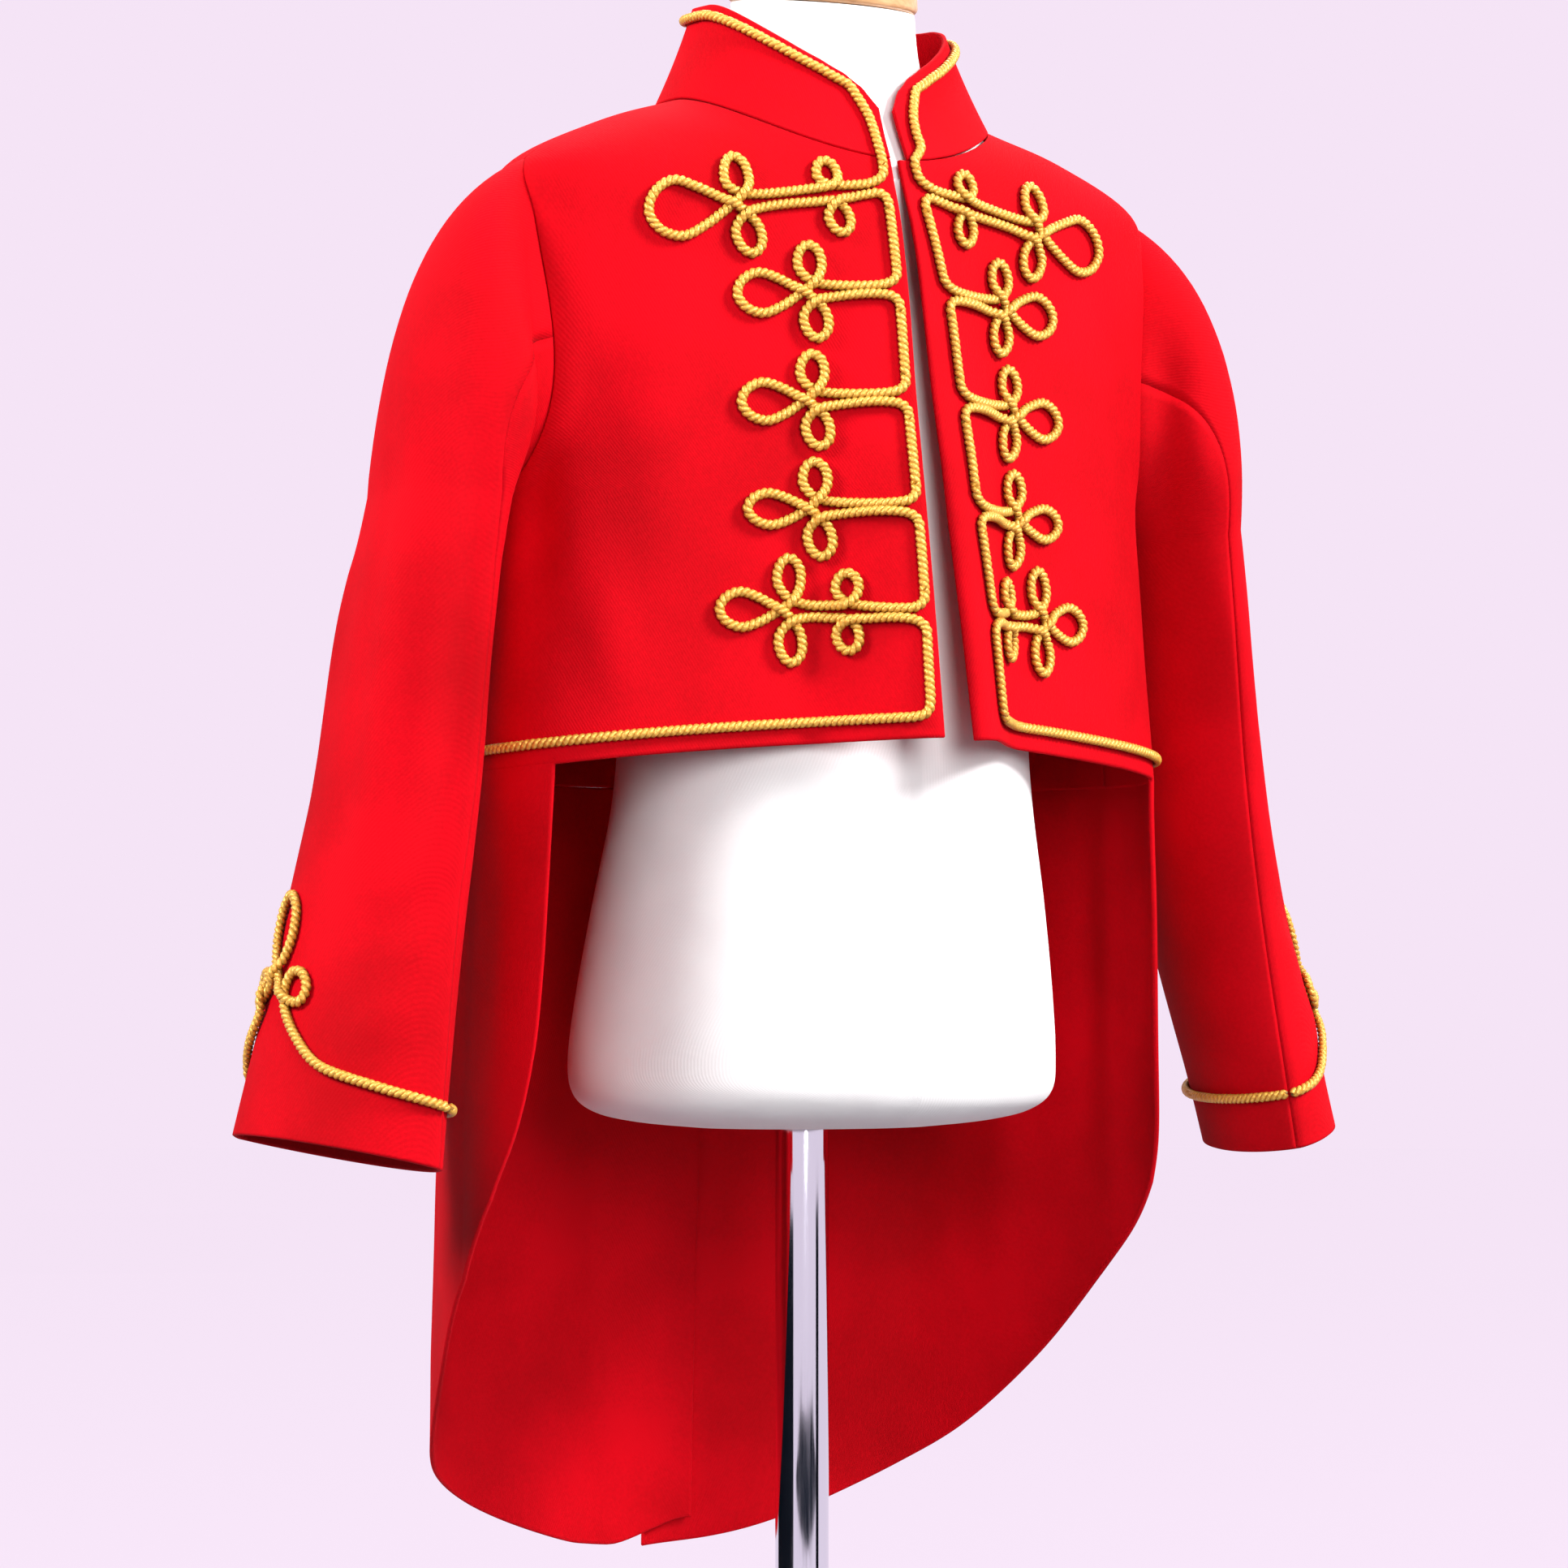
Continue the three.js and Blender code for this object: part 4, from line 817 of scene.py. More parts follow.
# white cotton jersey pulled over foam: matt, with fine upright wales
def jerseyCover():
    look = {"white": "#f6f4f4", "shade": "#ece8e9", "wale": 1.4}
    material, tree, shader = newMaterial("cottonJersey")
    place = addNode(tree, "ShaderNodeTexCoord").outputs["Object"]
    cut = addNode(tree, "ShaderNodeUVMap", {"uv_map": "cut"}).outputs["UV"]
    wale = addNode(tree, "ShaderNodeTexWave", {"bands_direction": "X"}, {
        "Vector": cut, "Scale": bandScale(look["wale"]), "Distortion": 0.6, "Detail": 1.0})
    soft = addNode(tree, "ShaderNodeTexNoise", inputs={
        "Vector": place, "Scale": 1 / (45 * metre), "Detail": 2.0, "Roughness": 0.5})
    colour = ramp(tree, soft.outputs["Fac"], [(0.3, look["shade"]), (0.7, look["white"])])
    tree.links.new(colour, shader.inputs["Base Color"])
    bump = addNode(tree, "ShaderNodeBump", inputs={
        "Height": wale.outputs["Fac"], "Strength": 0.35, "Distance": 0.0001})
    tree.links.new(bump.outputs["Normal"], shader.inputs["Normal"])
    shader.inputs["Roughness"].default_value = 0.85
    shader.inputs["Specular IOR Level"].default_value = 0.3
    shader.inputs["Sheen Weight"].default_value = 0.2
    return material


# bright chromium plate on drawn tube: a near mirror with faint lengthwise polishing marks
def chromedSteel():
    material, tree, shader = newMaterial("chromedSteel")
    place = addNode(tree, "ShaderNodeTexCoord").outputs["Object"]
    drawn = addNode(tree, "ShaderNodeMapping", inputs={"Vector": place, "Scale": (1, 1, 0.03)})
    marks = addNode(tree, "ShaderNodeTexNoise", inputs={
        "Vector": drawn.outputs["Vector"], "Scale": 1 / (0.9 * metre), "Detail": 2.0})
    rough = addNode(tree, "ShaderNodeMapRange", inputs={
        "Value": marks.outputs["Fac"], "From Min": 0.3, "From Max": 0.7, "To Min": 0.05, "To Max": 0.1})
    tree.links.new(rough.outputs["Result"], shader.inputs["Roughness"])
    shader.inputs["Base Color"].default_value = linear("#dfe2e8")
    shader.inputs["Metallic"].default_value = 1
    return material


# turned beech under satin varnish: warm tan with short dark flecks along the grain
def varnishedBeech():
    look = {"tan": "#dcab78", "dark": "#bb8450", "grain": 5}
    material, tree, shader = newMaterial("varnishedBeech")
    place = addNode(tree, "ShaderNodeTexCoord").outputs["Object"]
    along = addNode(tree, "ShaderNodeMapping", inputs={"Vector": place, "Scale": (0.12, 1, 1)})
    grain = addNode(tree, "ShaderNodeTexNoise", inputs={
        "Vector": along.outputs["Vector"], "Scale": 1 / (look["grain"] * metre),
        "Detail": 6.0, "Distortion": 0.6})
    flecks = addNode(tree, "ShaderNodeTexNoise", inputs={
        "Vector": along.outputs["Vector"], "Scale": 1 / (0.9 * metre), "Detail": 2.0})
    both = addNode(tree, "ShaderNodeMath", {"operation": "MULTIPLY_ADD"}, {
        0: flecks.outputs["Fac"], 1: 0.4, 2: grain.outputs["Fac"]})
    colour = ramp(tree, both.outputs["Value"], [(0.5, look["dark"]), (0.82, look["tan"])])
    tree.links.new(colour, shader.inputs["Base Color"])
    shader.inputs["Roughness"].default_value = 0.45
    shader.inputs["Coat Weight"].default_value = 0.5
    shader.inputs["Coat Roughness"].default_value = 0.25
    return material


# the twisted cord, laid along a path of points that know which way the cloth faces
def twistedCordTree():
    tree = bpy.data.node_groups.new("twistedCord", "GeometryNodeTree")
    face = tree.interface
    face.new_socket("Geometry", in_out="INPUT", socket_type="NodeSocketGeometry")
    for name, kind in (("Strands", "NodeSocketInt"), ("Strand Radius", "NodeSocketFloat"),
                       ("Lay Across", "NodeSocketFloat"), ("Lay Up", "NodeSocketFloat"),
                       ("Twist", "NodeSocketFloat"), ("Step", "NodeSocketFloat"),
                       ("Sides", "NodeSocketInt"), ("Material", "NodeSocketMaterial")):
        face.new_socket(name, in_out="INPUT", socket_type=kind)
    face.new_socket("Geometry", in_out="OUTPUT", socket_type="NodeSocketGeometry")
    given = tree.nodes.new("NodeGroupInput").outputs
    line = addNode(tree, "GeometryNodeMeshToCurve", inputs={"Mesh": given["Geometry"]})
    even = addNode(tree, "GeometryNodeResampleCurve", {"mode": "LENGTH"}, {
        "Curve": line.outputs["Curve"], "Length": given["Step"]})
    strands = addNode(tree, "GeometryNodeDuplicateElements", {"domain": "SPLINE"}, {
        "Geometry": even.outputs["Curve"], "Amount": given["Strands"]})
    gone = addNode(tree, "GeometryNodeSplineParameter").outputs["Length"]
    turns = addNode(tree, "ShaderNodeMath", {"operation": "DIVIDE"}, {0: gone, 1: given["Twist"]})
    phase = addNode(tree, "ShaderNodeMath", {"operation": "DIVIDE"}, {
        0: strands.outputs["Duplicate Index"], 1: given["Strands"]})
    both = addNode(tree, "ShaderNodeMath", {"operation": "ADD"}, {
        0: turns.outputs[0], 1: phase.outputs[0]})
    angle = addNode(tree, "ShaderNodeMath", {"operation": "MULTIPLY"}, {
        0: both.outputs[0], 1: 2 * math.pi})
    cosine = addNode(tree, "ShaderNodeMath", {"operation": "COSINE"}, {0: angle.outputs[0]})
    sine = addNode(tree, "ShaderNodeMath", {"operation": "SINE"}, {0: angle.outputs[0]})
    out = addNode(tree, "GeometryNodeInputNamedAttribute", {"data_type": "FLOAT_VECTOR"}, {"Name": "out"})
    tangent = addNode(tree, "GeometryNodeInputTangent")
    across = addNode(tree, "ShaderNodeVectorMath", {"operation": "CROSS_PRODUCT"}, {
        0: out.outputs["Attribute"], 1: tangent.outputs["Tangent"]})
    level = addNode(tree, "ShaderNodeVectorMath", {"operation": "NORMALIZE"}, {
        0: across.outputs["Vector"]})
    upBy = addNode(tree, "ShaderNodeMath", {"operation": "MULTIPLY"}, {
        0: cosine.outputs[0], 1: given["Lay Up"]})
    sideBy = addNode(tree, "ShaderNodeMath", {"operation": "MULTIPLY"}, {
        0: sine.outputs[0], 1: given["Lay Across"]})
    up = addNode(tree, "ShaderNodeVectorMath", {"operation": "SCALE"}, {
        0: out.outputs["Attribute"], "Scale": upBy.outputs[0]})
    aside = addNode(tree, "ShaderNodeVectorMath", {"operation": "SCALE"}, {
        0: level.outputs["Vector"], "Scale": sideBy.outputs[0]})
    move = addNode(tree, "ShaderNodeVectorMath", {"operation": "ADD"}, {
        0: up.outputs["Vector"], 1: aside.outputs["Vector"]})
    # the strand's height in the lay, which the gilt material turns into painted shade between the strands
    high = addNode(tree, "GeometryNodeStoreNamedAttribute", {"data_type": "FLOAT", "domain": "POINT"}, {
        "Geometry": strands.outputs["Geometry"], "Name": "lay", "Value": cosine.outputs[0]})
    far = addNode(tree, "GeometryNodeStoreNamedAttribute", {"data_type": "FLOAT", "domain": "POINT"}, {
        "Geometry": high.outputs["Geometry"], "Name": "along", "Value": gone})
    laid = addNode(tree, "GeometryNodeSetPosition", inputs={
        "Geometry": far.outputs["Geometry"], "Offset": move.outputs["Vector"]})
    ring = addNode(tree, "GeometryNodeCurvePrimitiveCircle", {"mode": "RADIUS"}, {
        "Resolution": given["Sides"], "Radius": given["Strand Radius"]})
    tube = addNode(tree, "GeometryNodeCurveToMesh", inputs={
        "Curve": laid.outputs["Geometry"], "Profile Curve": ring.outputs["Curve"], "Fill Caps": True})
    soft = addNode(tree, "GeometryNodeSetShadeSmooth", inputs={"Geometry": tube.outputs["Mesh"]})
    real = addNode(tree, "GeometryNodeRealizeInstances", inputs={"Geometry": soft.outputs["Geometry"]})
    gilt = addNode(tree, "GeometryNodeSetMaterial", inputs={
        "Geometry": real.outputs["Geometry"], "Material": given["Material"]})
    addNode(tree, "NodeGroupOutput", inputs={"Geometry": gilt.outputs["Geometry"]})
    return tree


def layCord(name, path, tree, material):
    mesh = bpy.data.meshes.new(name)
    edges = [(i, i + 1) for i in range(len(path) - 1)]
    mesh.from_pydata([tuple(p) for p in path[:, :3] * metre], edges, [])
    facing = mesh.attributes.new("out", "FLOAT_VECTOR", "POINT")
    facing.data.foreach_set("vector", path[:, 3:].ravel())
    piece = bpy.data.objects.new(name, mesh)
    bpy.context.scene.collection.objects.link(piece)
    modifier = piece.modifiers.new("twistedCord", "NODES")
    modifier.node_group = tree
    values = {
        "Strands": cord["strands"],
        "Strand Radius": cord["strandRadius"] * metre,
        "Lay Across": (cord["width"] / 2 - cord["strandRadius"]) * metre,
        "Lay Up": (cord["height"] / 2 - cord["strandRadius"]) * metre,
        "Twist": cord["twist"] * metre,
        "Step": cord["step"] * metre,
        "Sides": cord["sides"],
        "Material": material,
    }
    for item in tree.interface.items_tree:
        if item.in_out == "INPUT" and item.name in values:
            modifier[item.identifier] = values[item.name]
    return asPlainMesh(piece)


# turns what the modifiers make into the piece's own mesh, and drops them
def asPlainMesh(piece):
    graph = bpy.context.evaluated_depsgraph_get()
    result = bpy.data.meshes.new_from_object(
        piece.evaluated_get(graph), preserve_all_data_layers=True, depsgraph=graph)
    piece.modifiers.clear()
    piece.data = result
    return piece


# dress form and stand
form = {
    "columns": 96,
    "rows": 13,
    "between": 6,
    "play": 2.3,  # between the form and the cloth over its shoulders
    "shoulders": (7.05, 7.33, 7.85),  # levels of the coat's body that the form follows
}
formKeys = "z width front back side".split()
formRows = [dict(zip(formKeys, row)) for row in [
    (336, 52, 50, 34, -8), (340, 86, 76, 60, -9), (349, 104, 89, 70, -10), (372, 106, 91, 72, -10),
    (420, 99, 92, 66, -14), (480, 89, 90, 58, -18), (540, 89, 85, 60, -18), (600, 98, 79, 68, -14),
    (650, 110, 72, 70, -14), (684, 117, 65, 64, -15),
]]
neckCentreY, capTilt, capRadius, capLevel = -16, math.radians(8), 38.5, 796.6
neckRings = [(762, 5, 50, 52, 22), (776, 5, 41, 53.5, 21), (796, 6, 38, 54, 21.5)]


def ovalPoint(row, share):
    angle = 2 * math.pi * share
    depth = row["front"] + row["side"] if math.cos(angle) > 0 else row["back"] - row["side"]
    return np.array([row["width"] * math.sin(angle), row["side"] - depth * math.cos(angle), row["z"]])


# under the coat's shoulders the form follows the cloth, just clear of it
def underCloth(v, share):
    left = share <= 0.5
    around = share * 2 if left else (1 - share) * 2
    half, t = ("front", around * 2) if around < 0.5 else ("back", 2 - around * 2)
    point = bodyPoint(half, v, t) - bodyNormal(half, v, t) * (coat["thickness"] + form["play"])
    if t < 1e-9:
        point[0] = 0
    return point * np.array([1 if left else -1, 1, 1])


def formRings():
    shares = [j / form["columns"] for j in range(form["columns"])]
    count = len(formRows) - 1
    heights = steps(form["rows"])
    rings = [[ovalPoint(rowAt(formRows, s * count), share) for share in shares] for s in heights]
    rings += [[underCloth(v, share) for share in shares] for v in form["shoulders"]]
    for z, drop, width, front, back in neckRings:
        row = {"z": z, "width": width, "front": front, "back": back, "side": neckCentreY}
        ring = np.array([ovalPoint(row, share) for share in shares])
        ring[:, 2] += (ring[:, 1] - neckCentreY) * math.tan(capTilt) * drop / 6
        rings.append(ring)
    rings = np.array([np.array(ring) for ring in rings])
    fine = []
    for i in range(len(rings) - 1):
        before, after = rings[max(0, i - 1)], rings[min(len(rings) - 1, i + 2)]
        for k in range(form["between"]):
            t = k / form["between"]
            b, c = rings[i], rings[i + 1]
            bend = 2 * before - 5 * b + 4 * c - after + t * (3 * (b - c) + after - before)
            fine.append(b + 0.5 * t * (c - before + t * bend))
    return np.array([*fine, rings[-1]])


# a closed skin over rings, from a point under the first to a point over the last
def closedRings(name, rings, material, hardEdges=None):
    rows, columns = rings.shape[:2]
    vertices = np.vstack([rings.reshape(-1, 3), rings[0].mean(axis=0), rings[-1].mean(axis=0)])
    faces = []
    for i in range(rows - 1):
        for j in range(columns):
            k = (j + 1) % columns
            faces.append((i * columns + j, i * columns + k, (i + 1) * columns + k, (i + 1) * columns + j))
    under, over = rows * columns, rows * columns + 1
    for j in range(columns):
        k = (j + 1) % columns
        faces.append((k, j, under))
        faces.append(((rows - 1) * columns + j, (rows - 1) * columns + k, over))
    around = np.concatenate([lengthsAlong(rings, 1).reshape(-1), [0, 0]])
    upward = np.concatenate([lengthsAlong(rings, 0).reshape(-1), [0, 0]])
    piece = meshFrom(name, vertices, faces, material, np.stack([around, upward], axis=-1))
    if hardEdges is not None:
        piece.data.set_sharp_from_angle(angle=math.radians(hardEdges))
    return piece


# rings of a turned piece: pairs of radius and height, from the bottom to the top
def turnedRings(profile, columns=96):
    rings = []
    for radius, z in profile:
        angles = [2 * math.pi * j / columns for j in range(columns)]
        rings.append([(radius * math.sin(a), -radius * math.cos(a), z) for a in angles])
    return np.array(rings, float)


# points round a turned edge, from its wall over the top, or from its underside up to the wall
def rounded(radius, z, edge, upper, count=6):
    arc = [math.pi / 2 * i / count for i in range(count + 1)]
    if upper:
        return [(radius - edge + edge * math.cos(a), z - edge + edge * math.sin(a)) for a in arc]
    return [(radius - edge + edge * math.sin(a), z + edge - edge * math.cos(a)) for a in arc]


# the creases, as short lines with a width and a depth; those of one side are mirrored for the other
frontCreases = [
    ((122, -58, 650), (136, -44, 590), 15, -1.2),
    ((104, -74, 700), (128, -58, 640), 11, -1.6),
    ((96, -76, 690), (112, -74, 560), 14, 1.1),
    ((128, -50, 560), (120, -62, 500), 12, 1.4),
    ((84, -84, 600), (92, -86, 500), 18, -0.7),
    ((60, -90, 560), (70, -92, 498), 12, 0.9),
    ((40, -88, 700), (120, -66, 716), 12, 1.0),
]
backCreases = [
    ((60, 92, 700), (40, 106, 560), 16, 1.3),
    ((95, 66, 700), (84, 92, 540), 13, -1.5),
    ((118, 52, 640), (112, 70, 500), 12, 1.3),
    ((20, 106, 620), (16, 110, 490), 14, -0.9),
    ((60, 92, 520), (100, 74, 560), 12, -1.0),
]
sleeveCreases = [
    ((142, -58, 700), (150, -66, 640), 8, -2.4),
    ((150, -62, 650), (170, -64, 590), 9, 2.2),
    ((166, -50, 640), (196, -58, 440), 8, 1.7),
    ((182, -40, 650), (212, -46, 420), 9, -1.5),
    ((196, -24, 640), (222, -34, 450), 9, 1.4),
    ((160, -60, 590), (184, -62, 480), 7, -1.6),
    ((206, 10, 600), (220, 4, 470), 12, -0.6),
    ((190, 30, 640), (206, 26, 480), 10, 1.4),
    ((200, -60, 430), (236, -52, 410), 9, -1.2),
    ((214, -66, 390), (240, -46, 372), 9, 1.1),
    ((165, 26, 590), (196, 34, 560), 9, -1.8),
    ((150, -20, 600), (170, 30, 580), 9, -1.6),
]
# the folds that one side alone has, written on the left side's own coordinates
leftFrontFolds = [
    ((60, -92, 620), (96, -84, 520), 12, -1.2),
]
rightFrontFolds = [
    ((146, -34, 620), (142, -36, 530), 10, -2.2),
    ((112, -72, 640), (108, -76, 540), 12, 1.0),
]
leftSleeveFolds = [
    ((166, -52, 640), (176, -58, 560), 8, -1.2),
    ((204, -20, 640), (224, -30, 400), 16, -2.0),
    ((152, -46, 662), (158, -40, 596), 9, -4.5),
    ((188, -46, 660), (198, -50, 520), 9, 1.4),
]
rightSleeveFolds = [
    ((154, -42, 652), (158, -38, 588), 11, -8.5),
    ((144, -44, 704), (151, -46, 656), 7, -2.0),
    ((158, -56, 662), (172, -60, 570), 8, 3.4),
    ((176, -56, 590), (186, -58, 440), 8, 1.6),
    ((190, -50, 600), (204, -50, 440), 8, -1.6),
    ((208, -30, 600), (222, -34, 420), 10, 1.2),
]
tailCreases = [
    ((60, 120, 460), (56, 132, 170), 15, -1.8),
    ((112, 84, 470), (116, 98, 210), 14, 2.0),
    ((140, 52, 470), (142, 60, 260), 11, -1.8),
    ((152, 12, 470), (156, 14, 320), 10, 1.6),
    ((152, -20, 460), (152, -16, 340), 8, -1.2),
    ((26, 122, 460), (24, 130, 180), 11, 1.2),
]


edgeRoll = {"width": 11.0, "top": 700, "fade": 120}


# how freely each point of a grid may move: not at all on its sewn sides, fully at some way from them
def freedomOf(points, sewn, reach):
    down, across = lengthsAlong(points, 0), lengthsAlong(points, 1)
    away = {"firstRow": down, "lastRow": down[-1:] - down,
            "firstColumn": across, "lastColumn": across[:, -1:] - across}
    freedom = np.ones(points.shape[:2])
    for side in sewn:
        near = np.clip(away[side] / reach, 0, 1)
        freedom = freedom * near * near * (3 - 2 * near)
    return freedom[..., None]


# creases and unevenness pressed into a grid, with its outward directions taken again
def ready(grid, closed, creases, seed, sewn, reach=14.0, size=60.0):
    points, outs = grid
    moved = creased(points, outs, creases)
    moved = uneven(moved, outs, size, coat["unevenness"], seed)
    points = mix(points, moved, freedomOf(points, sewn, reach))
    return points, outwardOf(points, closed, outs)


# rolls a front's free edge inwards, less and less towards the collar
def rolledEdge(points, outs, roll):
    along = lengthsAlong(points, 1)
    fade = np.clip(1 - along / edgeRoll["width"], 0, 1) ** 2
    height = points[:, :1, 2]
    low = np.clip((edgeRoll["top"] - height) / edgeRoll["fade"], 0, 1)
    moved = points - outs * (roll * fade * low)[..., None]
    return moved, outwardOf(moved, False, outs)


cloth, gilt, jersey = woolCloth(), giltCord(), jerseyCover()
chrome, beech = chromedSteel(), varnishedBeech()
cordTree = twistedCordTree()
made = {}


def keep(piece, slot, *nodes):
    made[piece.name] = piece
    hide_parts(*nodes)
    return piece


def addCord(name, path, node):
    return keep(layCord(name, overItself(path), cordTree, gilt), "gold_cord", node)


frontRaw, backRaw = bodyPanel("front"), bodyPanel("back")
frontHint, backHint = np.array([0.6, -1, 0.4]), np.array([0.6, 1, 0.4])
tube, tubeOuts = sleeveTube()
frontGrid = (frontRaw, outwardOf(frontRaw, False, frontHint))
backGrid = (backRaw, outwardOf(backRaw, False, backHint))
collarSheet = collarGrid()
print("coat surfaces laid out")

sideSettings = {
    "left": {"mirror": False, "tailInner": 0.3, "lapDepth": 0, "knotTurn": 8, "roll": 4.6, "seed": 0,
             "sleeveFolds": leftSleeveFolds, "frontFolds": leftFrontFolds},
    "right": {"mirror": True, "tailInner": -tail["lap"], "lapDepth": 3.6, "knotTurn": -22, "roll": 0.8,
              "seed": 40, "sleeveFolds": rightSleeveFolds, "frontFolds": rightFrontFolds},
}


# the sides along which each piece is sewn to the next; its rows run up the body and down the sleeve
sewnSides = {
    "front": ["lastRow", "lastColumn"],
    "back": ["firstRow", "lastRow", "firstColumn", "lastColumn"],
    "upper_sleeve": ["firstRow", "firstColumn", "lastColumn"],
    "under_sleeve": ["firstRow", "firstColumn", "lastColumn"],
    "tail": ["lastRow"],
    "collar": ["firstRow"],
}


def frontOf(side):
    settings = sideSettings[side]
    creases = frontCreases + settings["frontFolds"]
    pressed = ready(frontGrid, False, creases, 1.0 + settings["seed"], sewnSides["front"])
    return sided(rolledEdge(*pressed, settings["roll"]), settings)


def sided(grid, settings):
    return (mirrored(grid[0]), mirrored(grid[1])) if settings["mirror"] else grid


for side, settings in sideSettings.items():
    seed = settings["seed"]
    back = ready(backGrid, False, backCreases, 2.0 + seed, sewnSides["back"])
    flatTail = tailGrid(settings["tailInner"], settings["lapDepth"])
    tailSheet = ready(flatTail, False, tailCreases, 5.0 + seed, sewnSides["tail"])
    creases = sleeveCreases + settings["sleeveFolds"]
    tubeGrid = ready((tube, tubeOuts), True, creases, 3.0 + seed, ["firstRow"], 9.0)
    upper = sided(sleevePiece(*tubeGrid, sleeve["frontSeam"], sleeve["backSeam"]), settings)
    under = sided(sleevePiece(*tubeGrid, sleeve["backSeam"], 1 + sleeve["frontSeam"]), settings)
    front, back, tailSheet = frontOf(side), sided(back, settings), sided(tailSheet, settings)

    onFront = []
    for i, frog in enumerate(frogs):
        path = frogPath(*front, frog, side)
        onFront.append(addCord(f"twisted_frog_{side}_{i + 1}", path, f"frog_{side}_{i + 1}"))
        if i < len(frogs) - 1:
            path = edgePath(*front, side, frog["z"] - turnReach, frogs[i + 1]["z"] + turnReach)
            onFront.append(addCord(f"twisted_edge_{side}_{i + 1}", path, f"edge_cord_{side}_{i + 1}"))
    onFront.append(addCord(f"twisted_hem_{side}", hemPath(*front, side), f"hem_cord_{side}"))
    onCuff = addCord(f"twisted_cuff_{side}", cuffPath(*upper, settings["knotTurn"]), f"cuff_cord_{side}")
    underPath = cuffUnderPath(*under, upper[0])
    onUnder = addCord(f"twisted_cuff_under_{side}", underPath, f"cuff_cord_under_{side}")
    print(f"{side} cords laid")

    for name, grid, node, held, rests, trims in (
        ("front", front, "front", "draped", "dress_form_cover", onFront),
        ("back", back, "back", "draped", "dress_form_cover", ()),
        ("upper_sleeve", upper, "sleeve_upper", "hung", f"cloth_front_{side}", [onCuff]),
        ("under_sleeve", under, "sleeve_under", "hung", f"cloth_back_{side}", [onUnder]),
        ("tail", tailSheet, "tail", "hung", f"cloth_back_{side}", ()),
    ):
        wall = clothWall(f"cloth_{name}_{side}", *grid, cloth, sewnSides[name])
        piece = keep(wall, "red_cloth", f"{node}_{side}")
    print(f"{side} cloth made")

collarWall = clothWall("cloth_collar", *collarSheet, cloth, sewnSides["collar"])
collarPiece = keep(collarWall, "red_cloth", "collar")
leftHalf = collarCordHalf(*frontOf("left"), "left", 1)
rightHalf = collarCordHalf(*frontOf("right"), "right", -1)
collarCord = addCord("twisted_collar", smoothed(np.array([*leftHalf, *rightHalf[-2::-1]])), "collar_cord")
print("collar made")

keep(closedRings("dress_form_cover", formRings(), jersey), "form_cover", "dress_form")
capProfile = [(capRadius - 3, 0), *rounded(capRadius + 0.8, 0, 2.2, False),
              *rounded(capRadius + 0.4, 9, 3.6, True), (capRadius * 0.8, 10.4),
              (capRadius * 0.5, 12.2), (capRadius * 0.2, 13)]
cap = turnedRings(capProfile)
tilt = np.array([[1, 0, 0],
                 [0, math.cos(capTilt), -math.sin(capTilt)],
                 [0, math.sin(capTilt), math.cos(capTilt)]])
keep(closedRings("beech_neck_cap", cap @ tilt.T + np.array([0, neckCentreY, capLevel]), beech, 50),
     "cap_wood", "neck_cap")

stand = {"pole": 11, "poleTop": 398, "base": 140, "thick": 8, "boss": 20}
poleProfile = [(stand["pole"] - 2, 5.6), *rounded(stand["pole"], 5.6, 0.8, False),
               *rounded(stand["pole"], stand["poleTop"], 0.8, True)]
keep(closedRings("chromed_pole", turnedRings(poleProfile), chrome, 50), "chrome", "pole")
baseProfile = [(stand["base"] - 30, 0), *rounded(stand["base"], 0, 1.5, False),
               *rounded(stand["base"], stand["thick"], 2.5, True), (60, stand["thick"] + 0.6),
               (26, stand["thick"] + 1.5), (22.5, stand["thick"] + 3), (20.8, stand["thick"] + 6),
               *rounded(stand["boss"], stand["thick"] + 12, 1.2, True),
               (stand["pole"] + 0.4, stand["thick"] + 12),
               (stand["pole"] + 0.4, stand["thick"] - 2.6)]
keep(closedRings("chromed_base", turnedRings(baseProfile, 128), chrome, 40), "chrome", "base")
print("form and stand made")

for piece in made.values():
    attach(piece, "root")


# the set: a pale floor and backdrop, soft lights, and a camera a little to the wearer's right
studio = {
    "paper": "#f5e4f6",
    "camera": {"turn": -32, "distance": 2000, "height": 400, "scale": 0.335, "width": 1932,
               "poleAt": 988, "horizonAt": 1195},
    "key": {"turn": 40, "up": 34, "far": 2600, "size": 800, "power": 98},
    "fill": {"turn": -94, "up": 28, "far": 2600, "size": 1000, "power": 82},
    "front": {"turn": -14, "up": 12, "far": 2600, "size": 1300, "power": 45},
    "top": {"turn": 140, "up": 66, "far": 2400, "size": 1400, "power": 44},
    "aim": 0.52,  # the height that the lamps face, in metres
    "ambient": 0.25,
    "flagColour": "#0c1018",
    "room": 9000,  # radius of the floor and the dome over it
    "floor": -0.2,
}

# dark flags beside the set and one on the floor before it, seen only in the chrome; each is a card
# across a direction from the pole, from its near and low edge to its far and high one
flagKeys = ("turn", "wide", "near", "far", "low", "high")
flags = [dict(zip(flagKeys, row)) for row in (
    (-112, 1400, 1500, 1500, -500, 320),
    (37, 180, 1500, 1500, -500, 320),
    (-12, 1300, 1150, 2700, -1, -1),
)]


# matt seamless paper, lit so evenly that it shows almost no shade
def paperMaterial():
    material, tree, shader = newMaterial("seamlessPaper")
    glow = addNode(tree, "ShaderNodeEmission", inputs={
        "Color": linear(studio["paper"]), "Strength": 1.02})
    shader.inputs["Base Color"].default_value = linear(studio["paper"])
    shader.inputs["Roughness"].default_value = 0.9
    both = addNode(tree, "ShaderNodeMixShader", inputs={
        "Fac": 0.03, 1: glow.outputs["Emission"], 2: shader.outputs["BSDF"]})
    tree.links.new(both.outputs["Shader"], tree.nodes["Material Output"].inputs["Surface"])
    return material


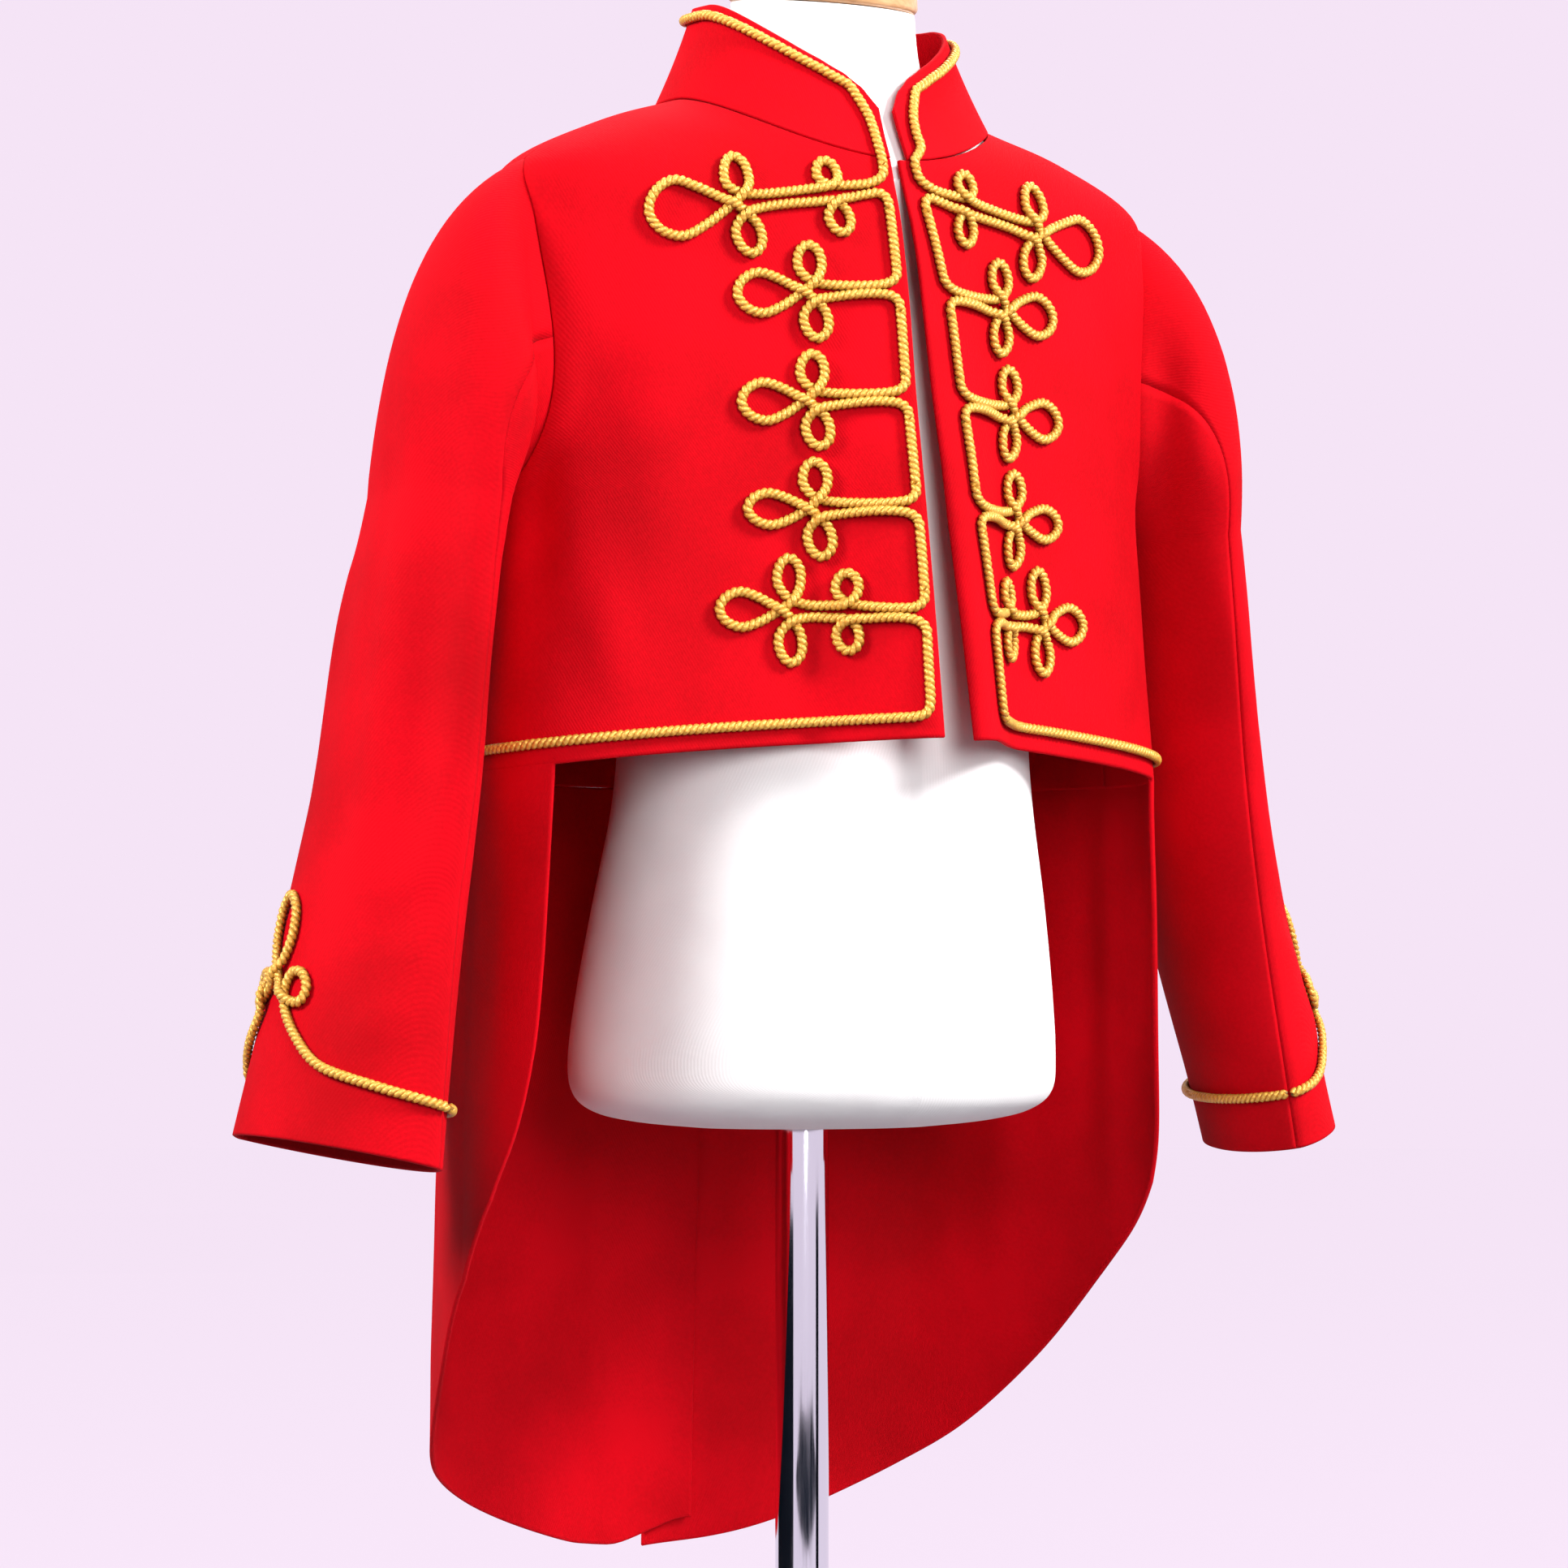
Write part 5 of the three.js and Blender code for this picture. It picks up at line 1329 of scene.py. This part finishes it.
def addLight(name, settings):
    light = bpy.data.lights.new(name, "AREA")
    light.shape = "DISK"
    light.size = settings["size"] * metre
    light.energy = settings["power"]
    lamp = bpy.data.objects.new(name, light)
    turn, up = math.radians(settings["turn"]), math.radians(settings["up"])
    aim = Vector((0, 0, studio["aim"]))
    away = Vector((math.sin(turn) * math.cos(up), -math.cos(turn) * math.cos(up), math.sin(up)))
    lamp.location = aim + away * settings["far"] * metre
    lamp.rotation_euler = away.to_track_quat("Z", "Y").to_euler()
    bpy.context.scene.collection.objects.link(lamp)


def addStage():
    paper = paperMaterial()
    room = studio["room"]
    floorRings = turnedRings([(0.5, studio["floor"]), (room, studio["floor"])])
    floor = closedRings("paper_floor", floorRings, paper)
    domeProfile = [(room * math.cos(a), room * math.sin(a)) for a in np.linspace(-0.02, 1.5, 24)]
    dome = closedRings("paper_backdrop", turnedRings(domeProfile), paper)
    for piece in (floor, dome):
        piece.visible_diffuse = piece.visible_shadow = False
    floor.visible_glossy = False
    flagCloth, tree, shader = newMaterial("blackFlagCloth")
    shader.inputs["Base Color"].default_value = linear(studio["flagColour"])
    shader.inputs["Roughness"].default_value = 1.0
    shader.inputs["Specular IOR Level"].default_value = 0.0
    for i, row in enumerate(flags):
        a = math.radians(row["turn"])
        out = np.array([math.sin(a), -math.cos(a), 0])
        aside = np.array([math.cos(a), math.sin(a), 0]) * row["wide"]
        near = out * row["near"] + [0, 0, row["low"]]
        far = out * row["far"] + [0, 0, row["high"]]
        corners = [near - aside, near + aside, far + aside, far - aside]
        flag = meshFrom(f"flag_{i + 1}", corners, [(0, 1, 2, 3)], flagCloth)
        flag.visible_camera = flag.visible_diffuse = flag.visible_shadow = False


def addCamera():
    view = studio["camera"]
    focal = view["distance"] / view["scale"]  # in pixels
    camera = bpy.data.cameras.new("camera")
    camera.sensor_width = 36
    camera.lens = 36 * focal / view["width"]
    camera.clip_end = 100
    turn = math.radians(view["turn"])
    seat = bpy.data.objects.new("camera", camera)
    away = view["distance"] * metre
    seat.location = (math.sin(turn) * away, -math.cos(turn) * away, view["height"] * metre)
    middle = view["width"] / 2
    pitch = math.atan((view["horizonAt"] - middle) / focal)
    yaw = math.atan((view["poleAt"] - middle) / focal)
    seat.rotation_euler = (math.pi / 2 + pitch, 0, turn + yaw)
    bpy.context.scene.collection.objects.link(seat)
    bpy.context.scene.camera = seat


addStage()
for name in ("key", "fill", "front", "top"):
    addLight(name, studio[name])
addCamera()
world = bpy.data.worlds.new("softRoom")
world.use_nodes = True
world.node_tree.nodes["Background"].inputs["Color"].default_value = linear("#f3eef6")
world.node_tree.nodes["Background"].inputs["Strength"].default_value = studio["ambient"]
bpy.context.scene.world = world
bpy.context.scene.view_settings.view_transform = "Standard"
print("set ready")
